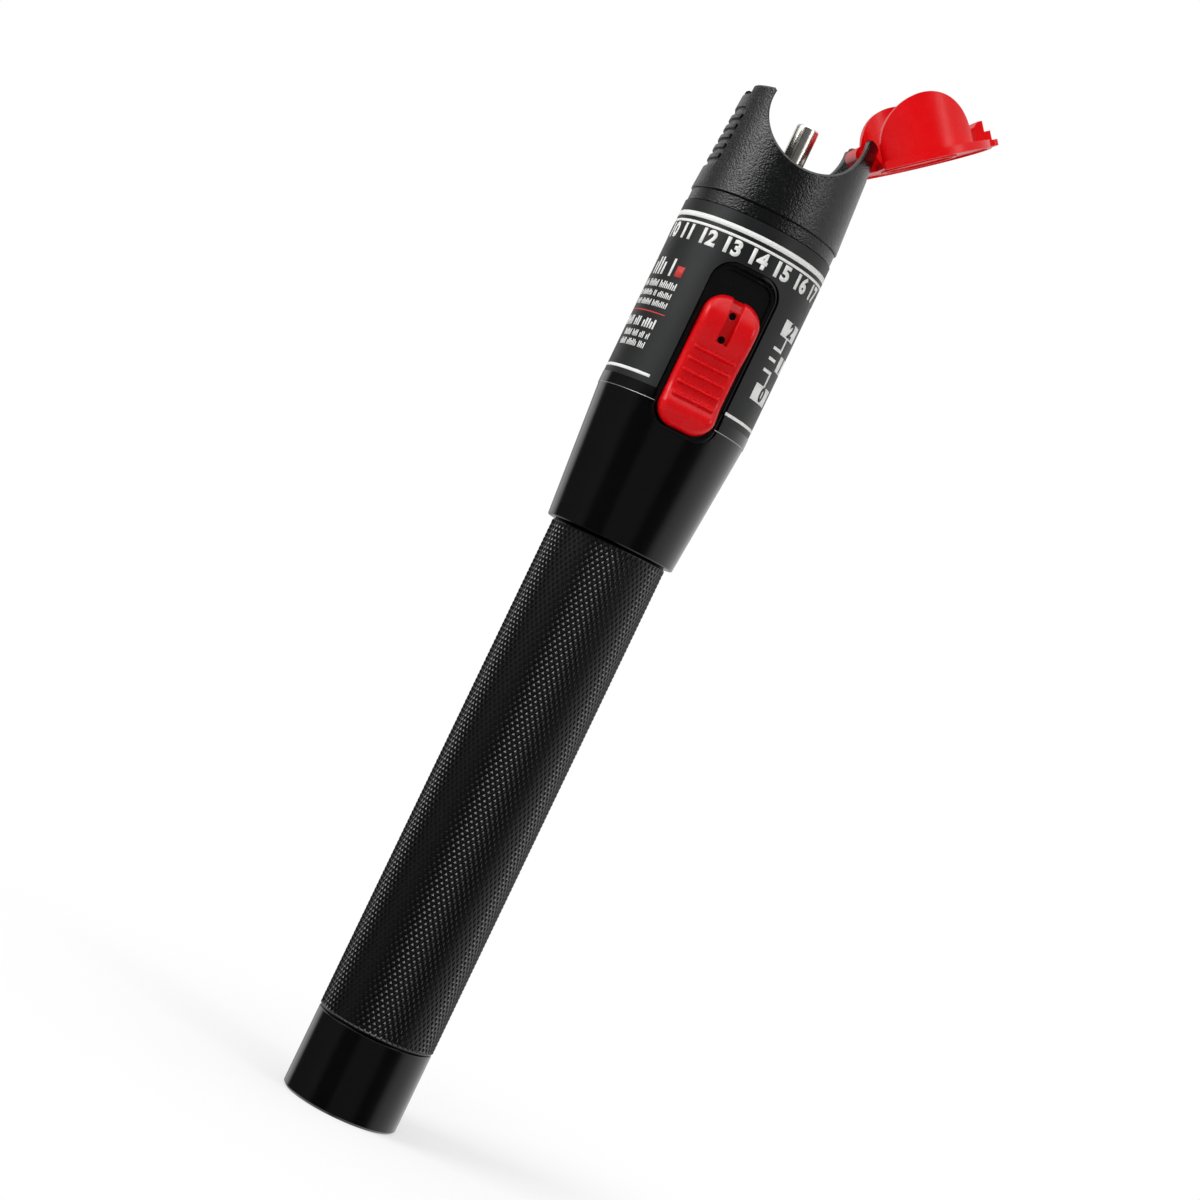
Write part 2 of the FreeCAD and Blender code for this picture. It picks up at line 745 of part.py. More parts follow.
def make_slide_button():
    """Ribbed thumb button: a dished top between two crests, a notch, and a stem underneath."""
    half = S.button_width / 2
    low_crest = BUTTON_START + S.scoop_start - S.scoop_slope / 2
    scoop_low = BUTTON_START + S.scoop_start
    scoop_high = scoop_low + S.scoop_length
    high_crest = scoop_high + S.scoop_slope
    body = new_body("slide_button_body")
    side = new_sketch(body, "button_side", "YZ_Plane")
    corners = [
        (-BUTTON_BACK, BUTTON_START), (-BUTTON_BACK, BUTTON_END),
        (-BUTTON_END_DEPTH, BUTTON_END), (-BUTTON_CREST_DEPTH, high_crest + S.high_crest_length),
        (-BUTTON_CREST_DEPTH, high_crest), (-SCOOP_DEPTH, scoop_high),
        (-SCOOP_DEPTH, scoop_low), (-BUTTON_CREST_DEPTH, low_crest),
        (-BUTTON_CREST_DEPTH, low_crest - S.low_crest_length), (-BUTTON_END_DEPTH, BUTTON_START),
    ]
    outline(side, corners)
    pad(body, side, S.button_width, symmetric=True)
    front = BUTTON_END_DEPTH.number
    dress(body, "Fillet", S.button_blend, lambda edge: is_cross_edge(edge, front + NEAR))
    dress(body, "Fillet", S.button_corner, lambda edge: is_depth_edge(edge, half.number))
    dress(body, "Fillet", S.button_round, lambda edge: is_rim_edge(edge, front - NEAR, half.number))

    ribs = new_sketch(body, "button_rib", "XZ_Plane", SCOOP_DEPTH - S.rib_height)
    rib_half = S.rib_length / 2
    first = (scoop_low + scoop_high) / 2 - S.rib_pitch * (S.rib_count - 1) / 2
    rib_low = first - S.rib_width / 2
    rib_high = first + S.rib_width / 2
    rounded(ribs, -rib_half, rib_half, rib_low, rib_high, S.rib_width / 2 - S.label_gap)
    rib = pad(body, ribs, S.rib_height * 2)
    repeat = body.newObject("PartDesign::LinearPattern", "button_ribs")
    repeat.Originals = [rib]
    repeat.Direction = (ribs, ["V_Axis"])
    repeat.Mode = "Spacing"
    bind(repeat, "Offset", S.rib_pitch)
    bind(repeat, "Occurrences", S.rib_count)
    body.Tip = repeat
    DOC.recompute()

    notch_floor = BUTTON_CREST_DEPTH - S.notch_depth
    notch = new_sketch(body, "button_notch", "XZ_Plane", notch_floor)
    notch_half = S.notch_width / 2
    rectangle(notch, -notch_half, notch_half, BUTTON_END - S.notch_length, BUTTON_END + S.cut_margin)
    pocket(body, notch, S.notch_depth * 2)
    dimples = new_sketch(body, "button_dimples", "XZ_Plane", notch_floor - S.dimple_depth)
    dimple_low = BUTTON_END - S.notch_length + S.dimple_diameter / 2 + S.edge_break / 2
    circle(dimples, ZERO, dimple_low, S.dimple_diameter / 2)
    circle(dimples, ZERO, dimple_low + S.dimple_spacing, S.dimple_diameter / 2)
    pocket(body, dimples, S.notch_depth * 2)

    stem = new_sketch(body, "button_stem", "XZ_Plane", S.stem_depth)
    stem_half = S.stem_width / 2
    stem_reach = S.stem_length / 2
    rectangle(stem, -stem_half, stem_half, LEVER_HEIGHT - stem_reach, LEVER_HEIGHT + stem_reach)
    pad(body, stem, BUTTON_BACK - S.stem_depth + S.button_lift)
    socket = new_sketch(body, "button_socket", "XZ_Plane", S.stem_depth - S.button_lift)
    socket_half = S.lever_size / 2 + S.slip_gap
    rectangle(socket, -socket_half, socket_half, LEVER_HEIGHT - socket_half, LEVER_HEIGHT + socket_half)
    pocket(body, socket, S.lever_reach + S.button_lift * 2)
    finish(body, "slide_button")


def is_cross_edge(edge, depth):
    """Tell whether an edge runs along X in front of the given depth."""
    ends = [vertex.Point for vertex in edge.Vertexes]
    if len(ends) != 2:
        return False
    run = ends[1] - ends[0]
    return abs(run.y) + abs(run.z) < 1e-6 and -ends[0].y > depth


def is_depth_edge(edge, half):
    """Tell whether an edge runs along Y at the given distance from the middle plane."""
    ends = [vertex.Point for vertex in edge.Vertexes]
    if len(ends) != 2:
        return False
    run = ends[1] - ends[0]
    return abs(run.x) + abs(run.z) < 1e-6 and abs(abs(ends[0].x) - half) < 1e-6


def is_rim_edge(edge, depth, half):
    """Tell whether an edge lies on the button's front rim: between its sides and its top."""
    ends = [vertex.Point for vertex in edge.Vertexes]
    if len(ends) != 2 or min(-point.y for point in ends) < depth:
        return False
    run = ends[1] - ends[0]
    crosses = abs(run.x) > half
    return not crosses or abs(run.y) + abs(run.z) > 1e-6


def make_switch_lever():
    """Lever of the slide switch, from its slot into the button's stem."""
    reach = S.lever_size / 2
    lever = box(
        "switch_lever_block", -reach, reach, -(S.stem_depth + S.lever_reach),
        -(SHELL_FRONT - S.shell_slot_depth + S.side_gap),
        LEVER_HEIGHT - reach, LEVER_HEIGHT + reach,
    )
    DOC.recompute()
    finish(lever, "switch_lever")


def make_slide_switch_shell():
    """Metal shell of the three-way slide switch, with the lever's slot in its front."""
    half = S.shell_width / 2
    middle = LEVER_HEIGHT + S.switch_travel / 2
    shell = box(
        "switch_shell_block", -half, half, -SHELL_FRONT, -S.board_front,
        middle - S.shell_length / 2, middle + S.shell_length / 2,
    )
    slot_half = S.lever_size / 2 + S.side_gap
    slot_reach = S.switch_travel / 2 + slot_half
    slot = box(
        "switch_shell_slot", -slot_half, slot_half, -(SHELL_FRONT + S.cut_margin),
        -(SHELL_FRONT - S.shell_slot_depth), middle - slot_reach, middle + slot_reach,
    )
    finish(combine("Cut", "switch_shell", shell, slot), "slide_switch_shell")


# ---------------------------------------------------------------- electronics


def make_circuit_board():
    """Glass-fibre board that stands in the carrier's slot."""
    half = S.board_width / 2
    board = box("board_block", -half, half, -S.board_front, BOARD_BACK, BOARD_START, BOARD_END)
    DOC.recompute()
    finish(board, "circuit_board")


def make_driver_chip():
    """Eight-legged driver chip on the back of the board."""
    half = S.chip_width / 2
    low = (BOARD_START + BOARD_MIDDLE) / 2
    parts = [box("chip_block", -half, half, BOARD_BACK + S.chip_standoff, BOARD_BACK + S.chip_height, low,
                 low + S.chip_length)]
    leg = S.lead_diameter
    first = low + (S.chip_length - S.chip_pitch * 3) / 2 - leg / 2
    for side, left in (("left", -(half + leg * 2)), ("right", half)):
        for row in range(4):
            foot = first + S.chip_pitch * row
            parts.append(box(f"chip_leg_{side}_{row}", left, left + leg * 2, BOARD_BACK,
                             BOARD_BACK + S.chip_height / 2, foot, foot + leg))
    finish(combine("Fuse", "chip", *parts), "driver_chip")


def make_board_part(kind, number):
    """Set one chip part of a kind on the board's back, in that kind's column."""
    width, length, height, offset, pitch = (
        getattr(S, f"{kind}_{size}") for size in ("width", "length", "height", "offset", "pitch")
    )
    low = BOARD_MIDDLE + pitch * (number - 1)
    name = f"{kind}_{number}"
    block = box(f"{name}_block", offset, offset + width, BOARD_BACK, BOARD_BACK + height,
                low, low + length)
    DOC.recompute()
    finish(block, name)


def make_battery_contact_plate():
    """Nickel plate over the front cell, with a tab that runs up to the board."""
    body = new_body("battery_contact_body")
    plate = new_sketch(body, "contact_disc", "XY_Plane", BATTERY_TOP)
    circle(plate, ZERO, ZERO, S.contact_diameter / 2)
    pad(body, plate, S.contact_thickness)
    tab = new_sketch(body, "contact_tab", "XY_Plane", BATTERY_TOP)
    half = S.contact_tab_width / 2
    rectangle(tab, -half, half, -(S.board_front + S.contact_thickness), -S.board_front)
    pad(body, tab, S.contact_thickness + S.contact_tab_length)
    finish(body, "battery_contact_plate")


def make_board_carrier():
    """Moulded disc on the barrel's ledge that holds the board upright."""
    radius = CAVITY_RADIUS - S.slip_gap
    disc = rod("carrier_disc", radius, LEDGE, LEDGE + S.carrier_height)
    gap = S.seat_gap
    half = S.board_width / 2 + gap
    slot = box("carrier_slot", -half, half, -(S.board_front + gap), BOARD_BACK + gap, BOARD_START,
               LEDGE + S.carrier_height + S.cut_margin)
    tab_half = S.contact_tab_width / 2 + S.slip_gap
    tab_front = -(S.board_front + S.contact_thickness + S.slip_gap)
    tab = box("carrier_tab_slot", -tab_half, tab_half, tab_front, -S.board_front, LEDGE - S.cut_margin,
              LEDGE + S.carrier_height + S.cut_margin)
    finish(combine("Cut", "carrier", disc, slot, tab), "board_carrier")


def make_ground_clip():
    """Bronze leaf from the back of the board to the barrel's wall."""
    low = BOARD_END - S.clip_foot * 2
    shelf = low + S.clip_foot
    reach = CAVITY_RADIUS - S.clip_thickness
    body = new_body("ground_clip_body")
    side = new_sketch(body, "clip_side", "YZ_Plane")
    corners = [
        (BOARD_BACK, low), (BOARD_BACK + S.clip_thickness, low),
        (BOARD_BACK + S.clip_thickness, shelf), (reach, shelf), (reach, shelf + S.clip_foot),
        (reach - S.clip_thickness, shelf + S.clip_foot),
        (reach - S.clip_thickness, shelf + S.clip_thickness),
        (BOARD_BACK, shelf + S.clip_thickness),
    ]
    outline(side, corners)
    pad(body, side, S.clip_width, symmetric=True)
    finish(body, "ground_clip")


# ---------------------------------------------------------------- laser and port


def make_laser_holder():
    """Turned holder for diode, lens and port tube, with a flange under the crown's floor."""
    radius = S.holder_diameter / 2
    flange = SPIGOT_BORE - S.slip_gap
    diode_bore = S.diode_diameter / 2 + S.seat_gap
    lens_bore = S.lens_diameter / 2 + S.seat_gap
    tube_bore = S.tube_diameter / 2 + S.seat_gap
    step = HOLDER_START + S.diode_flange + S.diode_recess
    corners = [
        (diode_bore, HOLDER_START), (radius, HOLDER_START),
        (radius, CROWN_FLOOR_BACK - S.holder_flange), (flange, CROWN_FLOOR_BACK - S.holder_flange),
        (flange, CROWN_FLOOR_BACK), (tube_bore, CROWN_FLOOR_BACK), (tube_bore, TUBE_START),
        (lens_bore, TUBE_START), (lens_bore, step), (diode_bore, step),
    ]
    body = new_body("laser_holder_body")
    revolve(body, "laser_holder", (corners, {}))
    finish(body, "laser_holder")


def make_laser_diode():
    """Red laser diode can with its three leads."""
    flange_low = HOLDER_START + S.diode_recess
    flange_top = flange_low + S.diode_flange
    can_top = flange_top + S.diode_can_height
    parts = [rod("diode_flange", S.diode_diameter / 2, flange_low, flange_top),
             rod("diode_can", S.diode_can_diameter / 2, flange_top, can_top)]
    reach = S.lead_circle / 2
    front = -(S.board_front + S.lead_diameter / 2 + S.seat_gap)
    places = [(-reach, front), (reach, front), (ZERO, reach)]
    for number, (across, along) in enumerate(places):
        length = S.lead_length if number < 2 else S.ground_lead_length
        parts.append(rod(f"diode_lead_{number}", S.lead_diameter / 2, flange_low - length, flange_low,
                         across, along))
    finish(combine("Fuse", "diode", *parts), "laser_diode")


def make_coupling_lens():
    """Plano-convex lens between the diode and the fibre stub."""
    radius = S.lens_diameter / 2
    top = TUBE_START - S.label_gap
    low = top - S.lens_edge
    bulge_radius = (radius * radius + S.lens_bulge * S.lens_bulge) / (S.lens_bulge * 2)
    corners = [(ZERO, low - S.lens_bulge), (radius, low), (radius, top), (ZERO, top)]
    body = new_body("coupling_lens_body")
    revolve(body, "coupling_lens", (corners, {0: bulge_radius}))
    finish(body, "coupling_lens")


def make_fibre_stub():
    """Ceramic stub that carries the fibre below the sleeve and fills the tube."""
    stub = rod("fibre_stub_rod", S.sleeve_diameter / 2, SLEEVE_START - S.stub_length, SLEEVE_START)
    DOC.recompute()
    finish(stub, "fibre_stub")


def make_ceramic_sleeve():
    """Split zirconia sleeve that lines up the ferrule."""
    outer = rod("sleeve_outer", S.sleeve_diameter / 2, SLEEVE_START, SLEEVE_END)
    bore = rod("sleeve_hole", S.sleeve_bore / 2, SLEEVE_START - S.cut_margin,
                SLEEVE_END + S.cut_margin)
    half = S.sleeve_slit / 2
    slit = box("sleeve_slit", -half, half, ZERO, S.sleeve_diameter, SLEEVE_START - S.cut_margin,
                SLEEVE_END + S.cut_margin)
    finish(combine("Cut", "sleeve", outer, bore, slit), "ceramic_sleeve")


def make_connector_tube():
    """Plated port tube with a rounded mouth that keeps the sleeve in."""
    radius = S.tube_diameter / 2
    sleeve_bore = S.sleeve_diameter / 2 + S.sleeve_gap
    lip = TUBE_END - S.tube_lip
    corners = [
        (sleeve_bore, TUBE_START), (radius, TUBE_START), (radius, TUBE_END - S.tube_round),
        (radius - S.tube_round, TUBE_END), (S.tube_lip_bore / 2, TUBE_END),
        (S.tube_lip_bore / 2, lip), (sleeve_bore, lip),
    ]
    body = new_body("connector_tube_body")
    revolve(body, "connector_tube", (corners, {2: S.tube_round}))
    finish(body, "connector_tube")


# ---------------------------------------------------------------- crown


def cone_radius(height):
    """Return the crown's outer radius at a height."""
    base = BARREL_RADIUS
    tip = CROWN_TIP_RADIUS
    return base - (base - tip) * (height - CROWN_START) / S.crown_height


def make_crown_body():
    """Crown before its side panel: turned cup, round cut-outs, hinge slot and latch notch."""
    base = BARREL_RADIUS
    tip = CROWN_TIP_RADIUS
    collar = COLLAR_RADIUS
    groove = collar - S.edge_break / 2
    hole = S.tube_diameter / 2 + S.seat_gap
    corners = [
        (SPIGOT_BORE, SPIGOT_START), (SPIGOT_RADIUS, SPIGOT_START), (SPIGOT_RADIUS, BARREL_END),
        (collar - S.fine_break, BARREL_END), (collar, BARREL_END + S.fine_break),
        (collar, BARREL_END + S.collar_length), (groove, BARREL_END + S.collar_length),
        (groove, CROWN_START), (base - S.fine_break, CROWN_START),
        (base, CROWN_START + S.fine_break), (tip, HORN_TOP), (tip - S.horn_tip_wall, HORN_TOP),
        (cone_radius(CROWN_FLOOR_TOP) - S.horn_root_wall, CROWN_FLOOR_TOP), (hole, CROWN_FLOOR_TOP),
        (hole, CROWN_FLOOR_BACK), (SPIGOT_BORE, CROWN_FLOOR_BACK),
    ]
    body = new_body("crown_body")
    revolve(body, "crown", (corners, {}))

    cut = new_sketch(body, "crown_cut", "XZ_Plane")
    circle(cut, ZERO, CUT_HEIGHT, CUT_RADIUS)
    pocket(body, cut, S.barrel_diameter * 2, symmetric=True)
    floor_level = CROWN_FLOOR_TOP.number + NEAR
    dress(body, "Chamfer", S.horn_edge, lambda edge: edge.CenterOfMass.z > floor_level)

    slot = new_sketch(body, "hinge_slot", "YZ_Plane")
    half = S.hinge_slot_width / 2
    rectangle(slot, -half, half, HINGE_HEIGHT - S.hinge_slot_radius, HORN_TOP + S.cut_margin)
    pocket(body, slot, S.barrel_diameter)
    notch = new_sketch(body, "latch_notch", "YZ_Plane")
    half = S.latch_notch_width / 2
    rectangle(notch, -half, half, HORN_TOP - S.latch_notch_depth, HORN_TOP + S.cut_margin)
    pocket(body, notch, LATCH_NOTCH_REACH, along_normal=False)
    strip = new_sketch(body, "latch_strip_top", "YZ_Plane")
    rectangle(strip, -half, half, HORN_TOP - S.latch_strip_drop, HORN_TOP + S.cut_margin)
    pocket(body, strip, S.barrel_diameter, along_normal=False)

    hinge = new_sketch(body, "trunnion_holes", "XZ_Plane")
    circle(hinge, HINGE_REACH, HINGE_HEIGHT, TRUNNION_HOLE_RADIUS)
    pocket(body, hinge, S.trunnion_length + S.side_gap, symmetric=True)
    return body


def make_cheek_relief():
    """Room beside the cheeks for the swinging skirts, round about the hinge."""
    low = HORN_TOP - S.cheek_relief_depth
    body = new_body("cheek_relief_body")
    side = new_sketch(body, "cheek_relief", "XZ_Plane")
    rectangle(side, CHEEK_RELIEF_REACH, BARREL_RADIUS * 2, low, HORN_TOP * 2)
    pad(body, side, S.barrel_diameter * 2, symmetric=True)
    nose = cross_rod("cheek_nose", S.cheek_nose_radius, HINGE_REACH, HINGE_HEIGHT,
                     S.barrel_diameter * 3)
    half = S.cheek_half_width
    middle = box("cheeks", ZERO, BARREL_RADIUS * 3, -half, half, low - S.cut_margin, HORN_TOP * 3)
    return combine("Cut", "cheek_room_outside", body, nose, middle)


def make_crown_guard():
    """Moulded crown with a ribbed finger panel sunk in its latch-side horn."""
    low = CROWN_START + S.panel_start
    high = low + S.panel_height
    face = new_body("panel_face")
    sketch = new_sketch(face, "panel_outline", "YZ_Plane", -(BARREL_RADIUS + S.cut_margin))
    rounded(sketch, -S.panel_half_width, S.panel_half_width, low, high, S.panel_corner)
    pitch = S.panel_height / (S.panel_rib_count + 1)
    rib_half = S.panel_half_width - S.panel_corner / 2
    for number in range(SIZES["panel_rib_count"]):
        middle = low + pitch * (number + 1)
        reach = S.panel_rib_width / 2
        rectangle(sketch, -rib_half, rib_half, middle - reach, middle + reach)
    pad(face, sketch, BARREL_RADIUS - S.panel_half_width)

    skin = new_body("panel_skin")
    corners = [
        (cone_radius(low) - S.panel_depth, low), (cone_radius(low) + S.cut_margin, low),
        (cone_radius(high) + S.cut_margin, high), (cone_radius(high) - S.panel_depth, high),
    ]
    revolve(skin, "panel_skin", (corners, {}))
    panel = combine("Common", "panel", face, skin)
    finish(combine("Cut", "crown", make_crown_body(), panel, make_cheek_relief()), "crown_guard")


# ---------------------------------------------------------------- dust cap


def make_lid_plate():
    """Round plate of the dust cap, flat on its hinge side, with raised rings outside."""
    radius = LID_RADIUS
    chord_half = (radius * radius - LID_CHORD * LID_CHORD).root()
    body = new_body("lid_plate")
    face = new_sketch(body, "lid_outline", "XY_Plane", LID_FACE)
    corners = [(LID_CHORD, -chord_half), (LID_CHORD, chord_half), (-radius, ZERO)]
    outline(face, corners, {1: radius, 2: radius})
    pad(body, face, S.lid_thickness + S.lid_relief)
    ring = S.lid_ring_diameter / 2
    field = new_sketch(body, "lid_field", "XY_Plane", LID_FACE + S.lid_thickness)
    circle(field, ZERO, ZERO, radius - S.lid_rim_width)
    circle(field, ZERO, ZERO, ring)
    pocket(body, field, S.lid_relief * 2)
    middle = new_sketch(body, "lid_middle", "XY_Plane", LID_FACE + S.lid_thickness)
    circle(middle, ZERO, ZERO, ring - S.lid_rim_width)
    pocket(body, middle, S.lid_relief * 2)
    return body


def make_lid_skirts():
    """Two curved skirts that stand inside the crown's round cut-outs and pass its cheeks."""
    radius = CUT_RADIUS - S.skirt_gap
    low = CUT_HEIGHT - radius - S.cut_margin
    flat = new_body("skirt_outline")
    sketch = new_sketch(flat, "skirt_shape", "XZ_Plane")
    drop = LID_FACE - CUT_HEIGHT
    corners = [
        (-radius, CUT_HEIGHT), (ZERO, CUT_HEIGHT - radius), (radius, CUT_HEIGHT),
        (radius, CUT_HEIGHT + drop), (-radius, CUT_HEIGHT + drop),
    ]
    outline(sketch, corners, {0: radius, 1: radius})
    pad(flat, sketch, SKIRT_RADIUS * 4, symmetric=True)
    outer = rod("skirt_outer", SKIRT_RADIUS, low, LID_FACE)
    inner = rod("skirt_inner", SKIRT_RADIUS - S.skirt_wall, low - S.cut_margin,
                LID_FACE + S.cut_margin)
    wall = combine("Cut", "skirt_wall", outer, inner)
    skirts = combine("Common", "skirts", flat, wall)
    half = S.cheek_half_width + S.side_gap
    room = box("cheek_room", ZERO, SKIRT_RADIUS, -half, half, low, LID_FACE)
    return combine("Cut", "trimmed_skirts", skirts, room)


def make_lid_hinge():
    """Tongue, knuckle and trunnions that hang the dust cap between the cheeks."""
    width = S.hinge_slot_width - S.tongue_side_gap * 2
    radius = S.knuckle_diameter / 2
    top = LID_FACE + S.lid_thickness
    body = new_body("lid_tongue")
    side = new_sketch(body, "tongue_side", "XZ_Plane")
    corners = [
        (HINGE_REACH - radius, HINGE_HEIGHT), (HINGE_REACH + radius, HINGE_HEIGHT),
        (HINGE_REACH + radius / 2, top), (LID_CHORD - S.seat_gap, top),
        (LID_CHORD - S.lid_thickness, top), (LID_CHORD - S.lid_thickness, LID_FACE),
    ]
    outline(side, corners)
    pad(body, side, width, symmetric=True)
    knuckle = cross_rod("lid_knuckle", radius, HINGE_REACH, HINGE_HEIGHT, width)
    pins = cross_rod("lid_trunnions", S.trunnion_diameter / 2, HINGE_REACH, HINGE_HEIGHT,
                     S.trunnion_length)
    return combine("Fuse", "lid_hinge", body, knuckle, pins)


def make_lid_latch():
    """Hook with an outer step, and the thumb tab above them."""
    body = new_body("lid_latch")
    side = new_sketch(body, "latch_side", "XZ_Plane")
    top = LID_FACE + S.lid_thickness / 2
    tip = LID_FACE - S.hook_length
    step = LID_FACE - S.step_length
    corners = [
        (-(CROWN_TIP_RADIUS + S.step_overhang), step), (-HOOK_OUTER, step), (-HOOK_OUTER, tip),
        (-(HOOK_INNER + S.hook_bevel), tip), (-HOOK_INNER, tip + S.hook_bevel),
        (-HOOK_INNER, top), (-(CROWN_TIP_RADIUS + S.step_overhang), top),
    ]
    outline(side, corners)
    pad(body, side, S.hook_width, symmetric=True)
    tab = new_sketch(body, "thumb_tab", "XY_Plane", LID_FACE)
    half = S.thumb_width / 2
    corner = S.lid_thickness
    corners = [
        (-THUMB_REACH, -(half - corner)), (-(THUMB_REACH - corner), -half),
        (-HOOK_INNER, -half), (-HOOK_INNER, half), (-(THUMB_REACH - corner), half),
        (-THUMB_REACH, half - corner),
    ]
    outline(tab, corners, {0: corner, 4: corner})
    pad(body, tab, S.lid_thickness)
    return body


def make_dust_cap():
    """Dust cap: plate, skirts, hinge and latch in one moulding, drawn shut and swung open."""
    seal = rod("seal_outer", S.seal_diameter / 2, LID_FACE - S.seal_length, LID_FACE)
    bore = rod("seal_bore", S.seal_bore / 2, LID_FACE - S.seal_length - S.cut_margin, LID_FACE)
    boss = combine("Cut", "seal", seal, bore)
    cap = combine("Fuse", "cap", make_lid_plate(), make_lid_skirts(), make_lid_hinge(),
                  make_lid_latch(), boss)
    hinge = Vector(HINGE_REACH.number, 0, HINGE_HEIGHT.number)
    swing = Rotation(Vector(0, 1, 0), SIZES["lid_open_angle"])
    cap.Placement = FreeCAD.Placement(Vector(0, 0, 0), swing, hinge)
    DOC.recompute()
    finish(cap, "dust_cap")


# ---------------------------------------------------------------- the whole pen


def build():
    """Make every piece, from the tail to the head."""
    make_tail_cap()
    make_tail_spring()
    make_cap_seal_ring()
    make_grip_tube()
    make_battery("battery_rear", S.battery_start)
    make_battery("battery_front", S.battery_start + S.battery_length + S.nub_height)
    make_front_barrel()
    make_label_wrap()
    make_switch_bezel()
    make_slide_button()
    make_switch_lever()
    make_slide_switch_shell()
    make_circuit_board()
    make_driver_chip()
    for number in (1, 2, 3):
        make_board_part("capacitor", number)
    for number in (1, 2, 3, 4):
        make_board_part("resistor", number)
    make_battery_contact_plate()
    make_board_carrier()
    make_ground_clip()
    make_laser_holder()
    make_laser_diode()
    make_coupling_lens()
    make_fibre_stub()
    make_ceramic_sleeve()
    make_connector_tube()
    make_crown_guard()
    make_dust_cap()


def check():
    """Stop if any object failed to compute or any piece has no sound shape."""
    for item in DOC.Objects:
        if {"Invalid", "Error"} & set(item.State):
            raise RuntimeError(f"{item.Name} failed: {item.State}")
    for name, piece in PIECES:
        if piece.Shape.isNull() or not piece.Shape.isValid() or len(piece.Shape.Solids) != 1:
            raise RuntimeError(f"{name} isn't one sound solid")


def export():
    """Write one STEP file for each piece."""
    os.makedirs("parts", exist_ok=True)
    for name, piece in PIECES:
        piece.Shape.exportStep(os.path.join("parts", f"{name}.step"))


build()
check()
export()
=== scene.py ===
"""Looks of a pen-shaped visual fault locator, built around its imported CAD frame.

The pen stands on its tail: Z runs from the tail's end face to the port, the slide button faces -Y
and the dust cap hangs open on the +X side. Everything is in metres; MM turns millimetres into them.
"""

import math

import bmesh
import bpy
import numpy as np
from mathutils import Matrix, Vector


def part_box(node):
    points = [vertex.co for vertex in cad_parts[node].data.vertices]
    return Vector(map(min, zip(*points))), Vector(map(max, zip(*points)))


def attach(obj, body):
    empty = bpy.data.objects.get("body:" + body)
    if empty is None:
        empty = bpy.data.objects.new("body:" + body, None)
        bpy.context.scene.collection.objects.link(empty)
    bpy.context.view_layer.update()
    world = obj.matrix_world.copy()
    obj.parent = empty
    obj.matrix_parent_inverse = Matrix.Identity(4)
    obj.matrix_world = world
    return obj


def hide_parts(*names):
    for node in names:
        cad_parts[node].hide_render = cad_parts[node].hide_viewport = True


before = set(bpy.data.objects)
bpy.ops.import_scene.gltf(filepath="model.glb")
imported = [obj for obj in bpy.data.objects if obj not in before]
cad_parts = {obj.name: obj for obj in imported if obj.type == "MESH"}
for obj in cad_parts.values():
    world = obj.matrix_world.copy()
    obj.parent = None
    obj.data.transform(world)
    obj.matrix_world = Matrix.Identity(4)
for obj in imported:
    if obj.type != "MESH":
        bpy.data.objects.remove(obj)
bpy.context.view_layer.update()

MM = 0.001

# ------------------------------------------------------------------ sizes taken from the frame

GRIP_LOW, GRIP_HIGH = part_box("grip_tube")
CAP_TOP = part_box("tail_cap")[1].z
BARREL_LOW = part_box("front_barrel")[0].z
LABEL_LOW, LABEL_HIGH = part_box("label_wrap")
SPRING_LOW, SPRING_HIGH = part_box("tail_spring")
RING_LOW, RING_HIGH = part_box("cap_seal_ring")
BUTTON_LOW, BUTTON_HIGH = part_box("slide_button")
LABEL_RADIUS = LABEL_HIGH.x

# the battery tube under the knurl
GRIP_RADIUS = 10.0 * MM
GRIP_EDGE = 0.4 * MM
TUBE_BORE = 7.5 * MM
TAIL_NECK_RADIUS = 8.9 * MM
FRONT_NECK_RADIUS = 8.5 * MM
RING_GROOVE_RADIUS = 8.3 * MM
RING_GROOVE_WIDTH = 0.8 * MM
RING_GROOVE_BELOW_CAP_TOP = 1.2 * MM

# a CAD face counts as round about Z when its normal has less than this across the radius, its
# corners lie within this of one cone, and its normal has more than this along the radius
ROUND_SIDEWAYS = 0.1
ROUND_ERROR = 0.03 * MM
ROUND_SLOPE = 0.02

# diamond knurl: two crossed sets of grooves, and how many points span one diamond
KNURL_COLUMNS = 63
KNURL_POINTS = 4
KNURL_PITCH_Z = 1.52 * MM
KNURL_DEPTH = 0.3 * MM
KNURL_SHOULDER = 0.94
KNURL_MARGIN = 0.5 * MM

# screw thread on the tail neck, and how many rows span one pitch
THREAD_PITCH = 1.0 * MM
THREAD_DEPTH = 0.45 * MM
THREAD_ROWS = 8
THREAD_START = 0.3 * MM
THREAD_END_BELOW_GROOVE = 0.6 * MM

# battery spring
SPRING_WIRE_RADIUS = 0.4 * MM
SPRING_TURNS = 4.0

# slide button: its outline and rim
BUTTON_CORNER = 3.5 * MM
BUTTON_RIM = 1.25 * MM
BUTTON_BACK_DROP = 4.1 * MM
# its profile in millimetres: heights above its lower end, and drops behind its crests
BUTTON_PROFILE = ((0.0, 2.1, 3.3, 5.6, 12.5, 16.3, 19.1, 22.75),
                  (1.7, 0.0, 0.0, 1.4, 1.4, 0.0, 0.0, 1.7))
